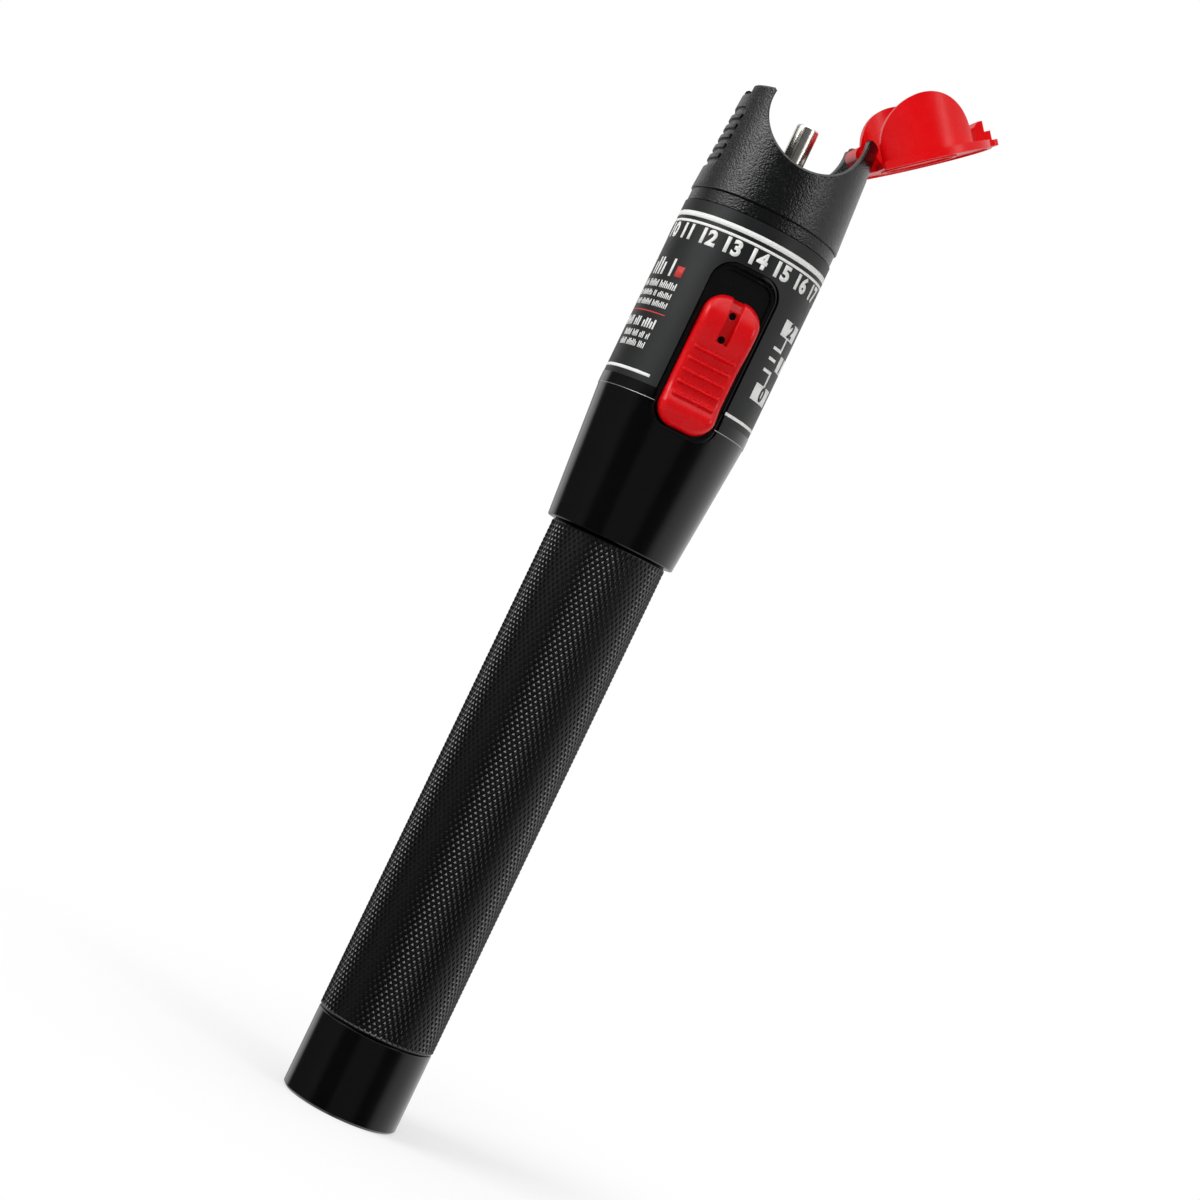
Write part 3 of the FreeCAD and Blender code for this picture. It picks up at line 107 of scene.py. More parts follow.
# its ribs, and the notch with two holes; the heights are in millimetres above its lower end
RIB_HEIGHTS = (5.05, 7.05, 9.05, 11.05, 13.05)
RIB_HALF_LENGTH = 3.4 * MM
RIB_HALF_WIDTH = 0.38 * MM
RIB_RISE = 0.6 * MM
NOTCH_HALF_WIDTH = 1.0 * MM
NOTCH_LENGTH = 7.7 * MM
NOTCH_DROP = 1.9 * MM
NOTCH_LEAST_DEPTH = 1.2 * MM
HOLE_RADIUS = 0.55 * MM
HOLE_DEPTH = 0.9 * MM
HOLE_HEIGHTS = (15.8, 19.9)
WALL_RUN = 0.1 * MM
# its stem
STEM_HEIGHT = 9.05 * MM
STEM_HALF_WIDTH = 1.5 * MM
STEM_HALF_LENGTH = 2.2 * MM
STEM_HOLE = 0.85 * MM
STEM_ROOT = 0.05 * MM

# printed film: its face lies under the barrel's, and the print stays level with the barrel
FILM_SINK = 0.06 * MM
PRINT_LIFT = -0.035 * MM
NUMERAL_LIFT = -0.008 * MM
EDGE_LIFT = -0.002 * MM
PRINT_THICKNESS = 0.03 * MM
NUMERAL_WEIGHT = 0.044
RING_NUMBERS = 18
RING_NUMBER_START = 98.0
RING_NUMBER_HEIGHT = 25.05
RING_NUMBER_SIZE = 3.45
BOX_NUMBER_SIZE = 3.3
PATCH_STEP = 1.5

# the film's layout, as patches: angles in degrees from -Y towards +X, and heights in millimetres
# above the film's lower edge
WINDOW_LEFT, WINDOW_RIGHT = -35.5, 26.5
STRIPES = (
    (-180.0, 180.0, 27.8, 28.66),
    (-180.0, 180.0, 26.74, 27.17),
    (WINDOW_RIGHT, 180.0, 1.0, 1.5),
    (-180.0, WINDOW_LEFT, 1.0, 1.5),
)
# rows of small marks: right end, low, high, marks in each group from the right, width, gap
MARK_ROWS = (
    (-58.4, 17.3, 20.3, (1, 4, 2), 2.4, 2.2),
    (-47.8, 15.2, 16.4, (9, 7, 4), 1.15, 0.8),
    (-48.2, 13.6, 14.6, (8, 2, 9, 3), 1.0, 0.75),
    (-48.0, 12.0, 13.0, (9, 8, 5), 1.0, 0.75),
    (-50.4, 8.3, 9.9, (5, 3, 6), 1.7, 1.1),
    (-50.8, 6.5, 7.6, (2, 3, 4, 7), 1.0, 0.75),
    (-51.2, 4.9, 6.0, (4, 7, 6), 1.0, 0.75),
)
RED_RULE = (-92.0, -45.8, 10.9, 11.1)
RED_SQUARE = (-54.6, -47.6, 17.5, 19.3)
# scale beside the button: three ticks, the uprights that lead two of them on, and three boxes
TICKS = (
    (41.5, 54.0, 10.3, 10.8),
    (41.5, 51.5, 12.3, 12.8),
    (41.5, 54.0, 14.1, 14.6),
)
UPRIGHTS = ((51.6, 54.0, 14.1, 16.6), (51.6, 54.0, 8.2, 10.8))
BOXES = ((41.5, 66.0, 16.6, 19.3), (57.0, 75.0, 11.3, 13.9), (41.5, 68.0, 5.4, 8.2))
# a painted highlight: a strip of bare-aluminium colour along the shoulder's edge below the film
SHOULDER_HIGHLIGHT = ((-180.0, -24.0, -1.98, -1.86), (24.0, 180.0, -1.98, -1.86))

# the studio
CAMERA_TURN = math.radians(9.8)
AMBIENT = 0.4
# what gloss sees round about, as a share of a turn that starts and ends behind, and a level
SURROUND_LEVELS = (
    (0.0, 0.4), (0.05, 0.4), (0.08, 0.9), (0.13, 0.9), (0.155, 0.05), (0.33, 0.15), (0.365, 0.03),
    (0.44, 0.03), (0.46, 0.12), (0.58, 0.12), (0.61, 0.03), (0.65, 0.04), (0.675, 0.08),
    (0.7, 0.4), (0.722, 0.6), (0.778, 0.75), (0.847, 0.95), (0.93, 0.95), (1.0, 0.4),
)
# its side panels and the light overhead, as where each comes in or goes out: turns from the front
# for the panels' sides, and the upward share of the direction for their foot and for overhead
PANEL_IN = (math.radians(30), math.radians(45))
PANEL_OUT = (math.radians(100), math.radians(120))
PANEL_FOOT = (0.1, 0.2)
OVERHEAD = (0.6, 0.8)
# the floor goes from card to plain white between these distances from the pen, and starts with
# this share of white
CARD_EDGE = (0.02, 0.1)
CARD_WHITE = 0.55


# ------------------------------------------------------------------ materials


def linear(hex_colour):
    """Turn an sRGB hex colour into linear RGBA.

    A channel c becomes c / 12.92 up to 0.04045, and ((c + 0.055) / 1.055)^2.4 above.
    """
    channels = [int(hex_colour[i:i + 2], 16) / 255 for i in (1, 3, 5)]
    lit = [c / 12.92 if c <= 0.04045 else ((c + 0.055) / 1.055) ** 2.4 for c in channels]
    return (*lit, 1.0)


def add_node(tree, kind, inputs=None, **settings):
    """Add a node, set its own settings, and give each named input its value or its link."""
    node = tree.nodes.new(kind)
    for name, value in settings.items():
        setattr(node, name, value)
    for name, value in (inputs or {}).items():
        if isinstance(value, bpy.types.NodeSocket):
            tree.links.new(value, node.inputs[name])
        else:
            node.inputs[name].default_value = value
    return node


def start_material(name, **sockets):
    """Start a material: its tree, its shader with the given constants, its object coordinates."""
    material = bpy.data.materials.new(name)
    material.use_nodes = True
    tree = material.node_tree
    tree.nodes.clear()
    shader = add_node(tree, "ShaderNodeBsdfPrincipled", {
        socket.replace("_", " "): value for socket, value in sockets.items()
    })
    output = add_node(tree, "ShaderNodeOutputMaterial")
    tree.links.new(shader.outputs["BSDF"], output.inputs["Surface"])
    place = add_node(tree, "ShaderNodeTexCoord").outputs["Object"]
    return material, tree, shader, place


def cells_per_metre(size):
    """Noise scale at which one lump is as wide as the given size."""
    return 1.0 / size


def mottled(tree, place, size, dark, light):
    """Colour that drifts between two close shades over lumps of a given size."""
    noise = add_node(tree, "ShaderNodeTexNoise", {
        "Vector": place, "Scale": cells_per_metre(size), "Detail": 3.0, "Roughness": 0.55,
    })
    return add_node(tree, "ShaderNodeMix", {
        "Factor": noise.outputs["Fac"], "A": linear(dark), "B": linear(light),
    }, data_type="RGBA").outputs["Result"]


def varied(tree, place, size, low, high):
    """Number that drifts between two values over lumps of a given size."""
    noise = add_node(tree, "ShaderNodeTexNoise", {
        "Vector": place, "Scale": cells_per_metre(size), "Detail": 2.0,
    })
    return add_node(tree, "ShaderNodeMapRange", {
        "Value": noise.outputs["Fac"], "From Min": 0.3, "From Max": 0.7,
        "To Min": low, "To Max": high,
    }).outputs["Result"]


def grain_bump(tree, place, size, depth, strength):
    """Fine surface grain: lumps of a given width and depth, as a bumped normal."""
    lumps = add_node(tree, "ShaderNodeTexNoise", {
        "Vector": place, "Scale": cells_per_metre(size), "Detail": 2.0,
    })
    return add_node(tree, "ShaderNodeBump", {
        "Height": lumps.outputs["Fac"], "Strength": strength, "Distance": depth,
    }).outputs["Normal"]


def turning_rings(tree, place, pitch, distortion, strength):
    """Shallow rings about Z, left by a turning tool at the given pitch, as a bumped normal."""
    rings = add_node(tree, "ShaderNodeTexWave", {
        "Vector": place, "Scale": cells_per_metre(pitch) / 20, "Distortion": distortion,
        "Detail": 2.0,
    }, wave_type="BANDS", bands_direction="Z")
    return add_node(tree, "ShaderNodeBump", {
        "Height": rings.outputs["Fac"], "Strength": strength, "Distance": 0.002 * MM,
    }).outputs["Normal"]


def plain_finish(name, colours, sheen, relief=None, **sockets):
    """Finish whose colour and roughness drift over lumps, with a fine relief where it has one.

    Colours are (lump size, dark, light) and the sheen is (lump size, least, most roughness). The
    relief is the function that makes it and that function's values.
    """
    material, tree, shader, place = start_material(name, **sockets)
    tree.links.new(mottled(tree, place, *colours), shader.inputs["Base Color"])
    tree.links.new(varied(tree, place, *sheen), shader.inputs["Roughness"])
    if relief:
        make_relief, *values = relief
        tree.links.new(make_relief(tree, place, *values), shader.inputs["Normal"])
    return material


def printed_ink(name, dark, light):
    """Screen-printed ink on the film: opaque, a touch uneven, as matt as the film."""
    return plain_finish(name, (0.5 * MM, dark, light), (1.0 * MM, 0.45, 0.55),
                        IOR=1.5, Specular_IOR_Level=0.35)


def red_moulded_abs(name, dark, light):
    """Red ABS from a finely sparked mould: strong even colour under a satin sheen."""
    return plain_finish(name, (5.0 * MM, dark, light), (1.5 * MM, 0.24, 0.3),
                        (grain_bump, 0.2 * MM, 0.006 * MM, 0.3), IOR=1.5, Specular_IOR_Level=0.25)


def turned_metal(name, dark, light, low, high):
    """Turned or drawn metal: slow changes of colour and gloss, and fine rings left by the tool."""
    return plain_finish(name, (2.0 * MM, dark, light), (1.0 * MM, low, high),
                        (turning_rings, 0.15 * MM, 1.0, 0.3), Metallic=1.0)


def knurled_anodised_aluminium():
    """Rolled diamond knurl under black anodising: its crests are a little lighter, partly for wear
    and partly as a painted glint, and smoother.
    """
    material, tree, shader, place = start_material(
        "knurled_anodised_aluminium", IOR=1.5, Specular_IOR_Level=0.6,
    )
    crest = add_node(tree, "ShaderNodeAttribute", attribute_name="crest").outputs["Fac"]
    # lighter colour on the crests: partly wear, partly a painted glint
    colour = add_node(tree, "ShaderNodeMix", {
        "Factor": crest, "A": linear("#020202"), "B": linear("#0a0a0b"),
    }, data_type="RGBA")
    roughness = add_node(tree, "ShaderNodeMapRange", {"Value": crest, "To Min": 0.3, "To Max": 0.2})
    tree.links.new(colour.outputs["Result"], shader.inputs["Base Color"])
    tree.links.new(roughness.outputs["Result"], shader.inputs["Roughness"])
    tree.links.new(grain_bump(tree, place, 0.12 * MM, 0.01 * MM, 0.4), shader.inputs["Normal"])
    return material


def grained_black_moulding():
    """Black ABS from a mould etched with a fine leather grain: gloss broken up by small cells."""
    material, tree, shader, place = start_material(
        "grained_black_moulding", IOR=1.5, Specular_IOR_Level=0.42,
    )
    wander = add_node(tree, "ShaderNodeTexNoise", {
        "Vector": place, "Scale": cells_per_metre(1.5 * MM), "Detail": 2.0,
    })
    warped = add_node(tree, "ShaderNodeMix", {
        "Factor": 0.0004, "A": place, "B": wander.outputs["Color"],
    }, data_type="VECTOR", clamp_factor=False)
    cells = add_node(tree, "ShaderNodeTexVoronoi", {
        "Vector": warped.outputs["Result"], "Scale": cells_per_metre(0.34 * MM), "Smoothness": 0.6,
    }, feature="SMOOTH_F1")
    fine = add_node(tree, "ShaderNodeTexNoise", {
        "Vector": place, "Scale": cells_per_metre(0.2 * MM), "Detail": 2.0,
    })
    height = add_node(tree, "ShaderNodeMath", {
        0: cells.outputs["Distance"], 1: fine.outputs["Fac"],
    }, operation="SUBTRACT")
    grain = add_node(tree, "ShaderNodeBump", {
        "Height": height.outputs["Value"], "Strength": 0.85, "Distance": 0.06 * MM,
    }, invert=True)
    colour = mottled(tree, place, 3.0 * MM, "#08090a", "#0c0d0e")
    tree.links.new(colour, shader.inputs["Base Color"])
    tree.links.new(varied(tree, place, 0.8 * MM, 0.2, 0.27), shader.inputs["Roughness"])
    tree.links.new(grain.outputs["Normal"], shader.inputs["Normal"])
    return material


def solder_mask_laminate():
    """Glass-fibre laminate under green solder mask: the copper shows through as lighter patches."""
    material, tree, shader, place = start_material("solder_mask_laminate", IOR=1.55)
    traces = add_node(tree, "ShaderNodeTexVoronoi", {
        "Vector": place, "Scale": cells_per_metre(2.5 * MM),
    }, feature="F1", distance="CHEBYCHEV")
    colour = add_node(tree, "ShaderNodeMix", {
        "Factor": traces.outputs["Distance"], "A": linear("#0d4a2a"), "B": linear("#146239"),
    }, data_type="RGBA")
    tree.links.new(colour.outputs["Result"], shader.inputs["Base Color"])
    tree.links.new(varied(tree, place, 1.0 * MM, 0.3, 0.4), shader.inputs["Roughness"])
    return material


# turned, blasted and dyed black in the oxide: deep black, with faint turning rings
ANODISED = plain_finish(
    "black_anodised_aluminium", (6.0 * MM, "#040404", "#070707"), (3.0 * MM, 0.1, 0.14),
    (turning_rings, 0.5 * MM, 0.6, 0.25), IOR=1.5, Specular_IOR_Level=0.5,
)
# aluminium colour for a painted highlight, laid on the shoulder's edge as a bright strip
EDGE_HIGHLIGHT_PAINT = plain_finish(
    "painted_edge_highlight", (0.6 * MM, "#8d8d8c", "#b9b9b7"), (0.4 * MM, 0.25, 0.4),
    Metallic=1.0,
)
KNURLED = knurled_anodised_aluminium()
# printed polyester film with a matt laminate: charcoal, even, with a very fine tooth
FILM = plain_finish(
    "charcoal_label_film", (4.0 * MM, "#121315", "#17181a"), (2.0 * MM, 0.42, 0.5),
    (grain_bump, 0.15 * MM, 0.006 * MM, 0.5), IOR=1.5, Specular_IOR_Level=0.35,
)
PALE_INK = printed_ink("pale_screen_ink", "#dedfdc", "#ecedea")
RED_INK = printed_ink("red_screen_ink", "#b9312f", "#c83a36")
DARK_INK = printed_ink("dark_screen_ink", "#232325", "#2b2b2d")
RED_BUTTON = red_moulded_abs("red_abs_of_the_button", "#ca020c", "#d4060f")
RED_CAP = red_moulded_abs("red_abs_of_the_cap", "#de0006", "#e8000c")
GRAINED = grained_black_moulding()
# black ABS from a polished mould: near-mirror gloss with slight flow unevenness
GLOSS_BLACK = plain_finish(
    "gloss_black_moulding", (4.0 * MM, "#050505", "#090909"), (2.0 * MM, 0.1, 0.18),
    (grain_bump, 1.2 * MM, 0.01 * MM, 0.3), IOR=1.5, Specular_IOR_Level=0.5,
)
# glass-filled black nylon: matt, slightly speckled, for the parts inside; also the painted shade in
# the button's holes
MATT_BLACK = plain_finish(
    "matt_black_moulding", (0.4 * MM, "#141414", "#1d1d1d"), (0.5 * MM, 0.5, 0.65),
    IOR=1.5, Specular_IOR_Level=0.35,
)
NICKEL = turned_metal("polished_nickel_plate", "#dcd8cf", "#ece8df", 0.2, 0.26)
SPRING_STEEL = turned_metal("drawn_spring_steel", "#8f8f8e", "#b0b0ae", 0.25, 0.35)
SWITCH_STEEL = turned_metal("tinned_steel_sheet", "#a3a29c", "#b8b7b0", 0.3, 0.42)
BRONZE = turned_metal("phosphor_bronze_strip", "#a3703f", "#b98350", 0.25, 0.35)
BRASS = turned_metal("turned_brass", "#a98a4a", "#c2a360", 0.2, 0.3)
# sintered and ground zirconia: warm white, very smooth, faintly translucent
ZIRCONIA = plain_finish(
    "white_zirconia", (1.0 * MM, "#e9e6dc", "#f1eee6"), (0.5 * MM, 0.12, 0.2),
    IOR=2.1, Specular_IOR_Level=0.5, Subsurface_Weight=0.2, Subsurface_Scale=0.4 * MM,
    Subsurface_Radius=(1.0, 0.95, 0.85),
)
# moulded nitrile: dull black with a dusty bloom
RUBBER = plain_finish(
    "black_nitrile_rubber", (0.5 * MM, "#0f0f0f", "#191918"), (0.4 * MM, 0.6, 0.75),
    IOR=1.52, Specular_IOR_Level=0.3, Sheen_Weight=0.1,
)
# alkaline cell in a printed steel jacket: plain slate grey
CELL = plain_finish(
    "shrink_wrapped_cell", (8.0 * MM, "#3c4146", "#474c52"), (3.0 * MM, 0.25, 0.35),
    Metallic=0.3, IOR=1.5, Coat_Weight=0.4, Coat_Roughness=0.1,
)
LAMINATE = solder_mask_laminate()
# barium titanate chip: dull tan body
CAPACITOR = plain_finish(
    "ceramic_capacitor", (0.3 * MM, "#a58458", "#b89468"), (0.3 * MM, 0.45, 0.6), IOR=1.6,
)
# polished lens glass with a faint blue coating tint
GLASS = plain_finish(
    "optical_glass", (3.0 * MM, "#eef6f8", "#f6fbfc"), (2.0 * MM, 0.0, 0.03),
    Transmission_Weight=1.0, IOR=1.52,
)


# ------------------------------------------------------------------ mesh helpers


def set_material(piece, *materials):
    """Give a piece its materials in order."""
    piece.data.materials.clear()
    for material in materials:
        piece.data.materials.append(material)


def settle(piece, body, slot, *materials):
    """Dress a finished piece and hang it on its body."""
    set_material(piece, *materials)
    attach(piece, body)
    return piece


def mesh_piece(name, points, faces, smooth=True):
    """Make an object at the origin from arrays of points and of equal-sided faces."""
    sides = faces.shape[1]
    mesh = bpy.data.meshes.new(name)
    mesh.vertices.add(len(points))
    mesh.vertices.foreach_set("co", points.astype(np.float32).ravel())
    mesh.loops.add(faces.size)
    mesh.loops.foreach_set("vertex_index", faces.astype(np.int32).ravel())
    mesh.polygons.add(len(faces))
    mesh.polygons.foreach_set("loop_start", np.arange(0, faces.size, sides, dtype=np.int32))
    mesh.polygons.foreach_set("use_smooth", np.full(len(faces), smooth))
    mesh.update(calc_edges=True)
    mesh.validate()
    piece = bpy.data.objects.new(name, mesh)
    bpy.context.scene.collection.objects.link(piece)
    return piece


def ring_triangles(rows, columns, rising):
    """Triangles of a grid closed both ways round.

    Each cell of corners a, b (next column), d (next row) and c (both) is cut along a-c where
    rising is true, and along b-d elsewhere.
    """
    row, column = np.meshgrid(np.arange(rows), np.arange(columns), indexing="ij")
    above = (row + 1) % rows
    beside = (column + 1) % columns
    a = row * columns + column
    b = row * columns + beside
    c = above * columns + beside
    d = above * columns + column
    first = np.where(rising[..., None], np.stack([a, b, c], -1), np.stack([a, b, d], -1))
    second = np.where(rising[..., None], np.stack([a, c, d], -1), np.stack([b, c, d], -1))
    return np.concatenate([first.reshape(-1, 3), second.reshape(-1, 3)])


def smooth_copy(node, body, slot, *materials, sharp=30.0, axis_smooth=True):
    """Stand-in for a node: the same mesh, its doubled corners merged and its shading made smooth.

    A corner's normal is the mean of the faces round it that meet at less than the sharp angle.
    On a face that belongs to a cone or cylinder about Z, whose corners keep
    (r - r0) n_r + (z - z0) n_z = 0, it is the face's own slope turned to the corner's direction,
    (n_r cos a, n_r sin a, n_z), so the gloss runs round without facets.
    """
    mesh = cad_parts[node].data.copy()
    mesh.name = f"{node}_skin"
    merged = bmesh.new()
    merged.from_mesh(mesh)
    bmesh.ops.remove_doubles(merged, verts=merged.verts, dist=0.002 * MM)
    for edge in merged.edges:
        edge.smooth = len(edge.link_faces) == 2 and edge.calc_face_angle(0.0) < math.radians(sharp)
    merged.to_mesh(mesh)
    merged.free()
    mesh.polygons.foreach_set("use_smooth", np.ones(len(mesh.polygons), bool))
    piece = bpy.data.objects.new(f"{node}_skin", mesh)
    bpy.context.scene.collection.objects.link(piece)
    if axis_smooth:
        turn_normals(mesh)
    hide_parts(node)
    return settle(piece, body, slot, *materials)


def turn_normals(mesh):
    """Set the corner normals of faces on cones and cylinders about Z to their true slope."""
    count = len(mesh.loops)
    corner = np.empty(count, np.int32)
    mesh.loops.foreach_get("vertex_index", corner)
    points = np.empty(len(mesh.vertices) * 3, np.float32)
    mesh.vertices.foreach_get("co", points)
    points = points.reshape(-1, 3).astype(float)[corner].reshape(-1, 3, 3)
    shading = np.empty(count * 3, np.float32)
    mesh.corner_normals.foreach_get("vector", shading)
    shading = shading.reshape(-1, 3, 3).astype(float)
    flat = np.cross(points[:, 1] - points[:, 0], points[:, 2] - points[:, 0])
    flat /= np.maximum(np.linalg.norm(flat, axis=1, keepdims=True), 1e-20)
    middle = points.mean(1)
    reach = np.maximum(np.hypot(middle[:, 0], middle[:, 1]), 1e-9)
    outward = middle[:, :2] / reach[:, None]
    slope = (flat[:, :2] * outward).sum(1)
    sideways = flat[:, 1] * outward[:, 0] - flat[:, 0] * outward[:, 1]
    radius = np.hypot(points[..., 0], points[..., 1])
    steepness = np.sqrt(np.maximum(1 - flat[:, 2] ** 2, 0)) * np.sign(slope)
    level = ((radius - radius[:, :1]) * steepness[:, None]
             + (points[..., 2] - points[:, :1, 2]) * flat[:, 2:])
    turned = ((np.abs(sideways) < ROUND_SIDEWAYS) & (np.abs(level).max(1) < ROUND_ERROR)
              & (np.abs(slope) > ROUND_SLOPE))
    around = points[..., :2] / np.maximum(radius, 1e-9)[..., None]
    true = np.concatenate([around * steepness[:, None, None],
                           np.repeat(flat[:, None, 2:], 3, axis=1)], axis=2)
    shading[turned] = true[turned]
    mesh.normals_split_custom_set(shading.reshape(-1, 3).tolist())


# ------------------------------------------------------------------ the knurled battery tube


def knurl_height(across, along):
    """Height of the knurl, 0 in a groove and 1 on a crest.

    The grooves are the lines where across + along or across - along is a whole number and a half.
    From each, the height rises steeply to a shoulder half way, and then slowly to the crest.
    """
    heights = []
    for phase in (across + along, across - along):
        distance = np.abs(phase % 1.0 - 0.5)
        heights.append(np.interp(distance, [0.0, 0.25, 0.5], [0.0, KNURL_SHOULDER, 1.0]))
    return np.minimum(*heights)


def neck_profile():
    """Radius and height of the tail neck's plain and threaded rows, from the tube's end upwards."""
    low = GRIP_LOW.z
    groove = CAP_TOP - RING_GROOVE_BELOW_CAP_TOP
    thread_low = low + THREAD_START
    thread_high = groove - RING_GROOVE_WIDTH - THREAD_END_BELOW_GROOVE
    rows = int(round((thread_high - thread_low) / THREAD_PITCH * THREAD_ROWS))
    thread = np.linspace(thread_low, thread_high, rows + 1)
    heights = np.concatenate([[low, low], thread, [groove - RING_GROOVE_WIDTH] * 2, [groove] * 2,
                              [CAP_TOP]])
    neck = TAIL_NECK_RADIUS
    radii = np.concatenate([[TUBE_BORE, neck - THREAD_DEPTH], np.full(rows + 1, neck),
                            [neck, RING_GROOVE_RADIUS, RING_GROOVE_RADIUS, neck, neck]])
    cut = np.concatenate([[0, 0], np.sin(np.linspace(0, math.pi, rows + 1)) ** 0.3, [0] * 5])
    return radii, heights, cut


def make_knurled_grip():
    """Battery tube: a turned wall closed on itself, with a diamond knurl and a threaded tail neck.

    The surface is (r cos a, r sin a, z). In the knurl r is the grip's radius less the depth times
    one minus the knurl's height. On the thread r is the neck's radius less a share of the thread's
    depth, which goes as the distance of z / pitch - a / 2 pi from the nearest crest.
    """
    columns = KNURL_COLUMNS * KNURL_POINTS
    angle = np.arange(columns) * 2 * math.pi / columns
    neck_radii, neck_heights, cut = neck_profile()
    start = CAP_TOP + KNURL_MARGIN
    span = BARREL_LOW - KNURL_MARGIN - start
    rows = int(span / KNURL_PITCH_Z) * KNURL_POINTS + 1
    knurl_heights = start + (np.arange(rows) + 0.5) * span / rows
    high = GRIP_HIGH.z
    plain_radii = np.array([GRIP_RADIUS - GRIP_EDGE, FRONT_NECK_RADIUS, FRONT_NECK_RADIUS,
                            TUBE_BORE])
    plain_heights = np.array([BARREL_LOW, BARREL_LOW, high, high])
    heights = np.concatenate([neck_heights, [CAP_TOP], [start], knurl_heights,
                              [BARREL_LOW - KNURL_MARGIN], plain_heights])
    base = np.concatenate([neck_radii, [GRIP_RADIUS - GRIP_EDGE], np.full(rows + 2, GRIP_RADIUS),
                           plain_radii])
    radius = np.repeat(base[:, None], columns, axis=1)

    threaded = np.arange(len(cut))
    phase = (heights[threaded, None] / THREAD_PITCH - angle[None] / (2 * math.pi)) % 1.0
    valley = 1 - np.abs(2 * phase - 1)
    radius[threaded] -= THREAD_DEPTH * valley * cut[:, None]

    first = len(neck_heights) + 2
    across = np.arange(columns)[None] / KNURL_POINTS
    along = (np.arange(rows)[:, None] + 0.5) / KNURL_POINTS
    crest = np.zeros_like(radius)
    knurl = knurl_height(across, along)
    crest[first:first + rows] = knurl
    radius[first:first + rows] -= KNURL_DEPTH * (1 - knurl)

    points = np.stack([radius * np.cos(angle), radius * np.sin(angle),
                       np.repeat(heights[:, None], columns, axis=1)], -1)
    quarter = ((2 * across + 0.25).astype(int) + (2 * along).astype(int)) % 2 == 1
    rising = np.zeros_like(radius, bool)
    rising[first:first + rows] = quarter
    faces = ring_triangles(len(heights), columns, rising)
    piece = mesh_piece("knurled_grip", points.reshape(-1, 3), faces, smooth=False)
    layer = piece.data.attributes.new("crest", "FLOAT", "POINT")
    layer.data.foreach_set("value", crest.astype(np.float32).ravel())
    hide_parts("grip_tube")
    return settle(piece, "barrel", "knurled_anodised", KNURLED)


# ------------------------------------------------------------------ spring and seal ring


def tube_along(name, path, radius, sides, closed):
    """Round wire along a path.

    Point (i, j) is path i plus radius times (N cos b + B sin b), where N points away from Z,
    B is the path's direction crossed with N, and b runs round the wire.
    """
    ahead = np.roll(path, -1, axis=0) - np.roll(path, 1, axis=0)
    if not closed:
        ahead[0] = path[1] - path[0]
        ahead[-1] = path[-1] - path[-2]
    ahead /= np.linalg.norm(ahead, axis=1, keepdims=True)
    normal = path * [1, 1, 0]
    normal /= np.linalg.norm(normal, axis=1, keepdims=True)
    normal -= ahead * (normal * ahead).sum(1, keepdims=True)
    normal /= np.linalg.norm(normal, axis=1, keepdims=True)
    side = np.cross(ahead, normal)
    turn = np.arange(sides) * 2 * math.pi / sides
    points = path[:, None] + radius * (normal[:, None] * np.cos(turn)[None, :, None]
                                       + side[:, None] * np.sin(turn)[None, :, None])
    rows = len(path)
    faces = ring_triangles(rows, sides, np.zeros((rows, sides), bool))
    points = points.reshape(-1, 3)
    if not closed:
        last = rows * sides
        wrap = np.abs(faces.max(1) - faces.min(1)) > 2 * sides
        faces = faces[~wrap]
        caps = []
        for centre, row, order in ((last, 0, 1), (last + 1, rows - 1, -1)):
            edge = row * sides + np.arange(sides)
            ring = np.stack([np.full(sides, centre), np.roll(edge, -1), edge], -1)
            caps.append(ring[:, ::order])
        points = np.concatenate([points, path[:1], path[-1:]])
        faces = np.concatenate([faces, *caps])
    return mesh_piece(name, points, faces)


def make_tail_spring():
    """Battery spring: a helix of radius R whose pitch closes up over the first and last turn."""
    wire = SPRING_WIRE_RADIUS
    radius = SPRING_HIGH.x - wire
    steps = np.linspace(0, 1, 220)
    eased = np.interp(steps, [0, 0.25, 0.75, 1], [0, 0.16, 0.84, 1])
    low = SPRING_LOW.z + wire
    height = SPRING_HIGH.z - wire - low
    angle = steps * SPRING_TURNS * 2 * math.pi
    path = np.stack([radius * np.cos(angle), radius * np.sin(angle), low + height * eased], -1)
    piece = tube_along("coiled_tail_spring", path, wire, 14, closed=False)
    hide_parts("tail_spring")
    return settle(piece, "tail", "spring_steel", SPRING_STEEL)


def make_seal_ring():
    """O-ring: a circle of round rubber cord in the neck's groove."""
    cord = (RING_HIGH.z - RING_LOW.z) / 2
    middle = (RING_HIGH.z + RING_LOW.z) / 2
    steps = 96
    angle = np.arange(steps) * 2 * math.pi / steps
    radius = RING_HIGH.x - cord
    path = np.stack([radius * np.cos(angle), radius * np.sin(angle), np.full(steps, middle)], -1)
    piece = tube_along("rubber_seal_ring", path, cord, 16, closed=True)
    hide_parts("cap_seal_ring")
    return settle(piece, "barrel", "seal_rubber", RUBBER)


# ------------------------------------------------------------------ the film and its print


def make_label_film():
    """Film: a point (x, y) of its outer face moves in by s, to (x, y) (r - s) / r."""
    film = smooth_copy("label_wrap", "barrel", "label_film", FILM)
    points = np.empty(len(film.data.vertices) * 3, np.float32)
    film.data.vertices.foreach_get("co", points)
    points = points.reshape(-1, 3)
    radius = np.hypot(points[:, 0], points[:, 1])
    sink = np.where(radius > LABEL_RADIUS - FILM_SINK, FILM_SINK, 0.0)
    points[:, :2] *= ((radius - sink) / radius)[:, None]
    film.data.vertices.foreach_set("co", points.ravel())
    film.data.update()


def print_piece(name, points, faces, material):
    """Printed shapes from lists of their points and faces, with a thin back that closes them."""
    piece = mesh_piece(name, np.concatenate(points), np.concatenate(faces))
    back = piece.modifiers.new("back", "SOLIDIFY")
    back.thickness = PRINT_THICKNESS
    back.offset = -1.0
    return settle(piece, "barrel", "label_film", material)


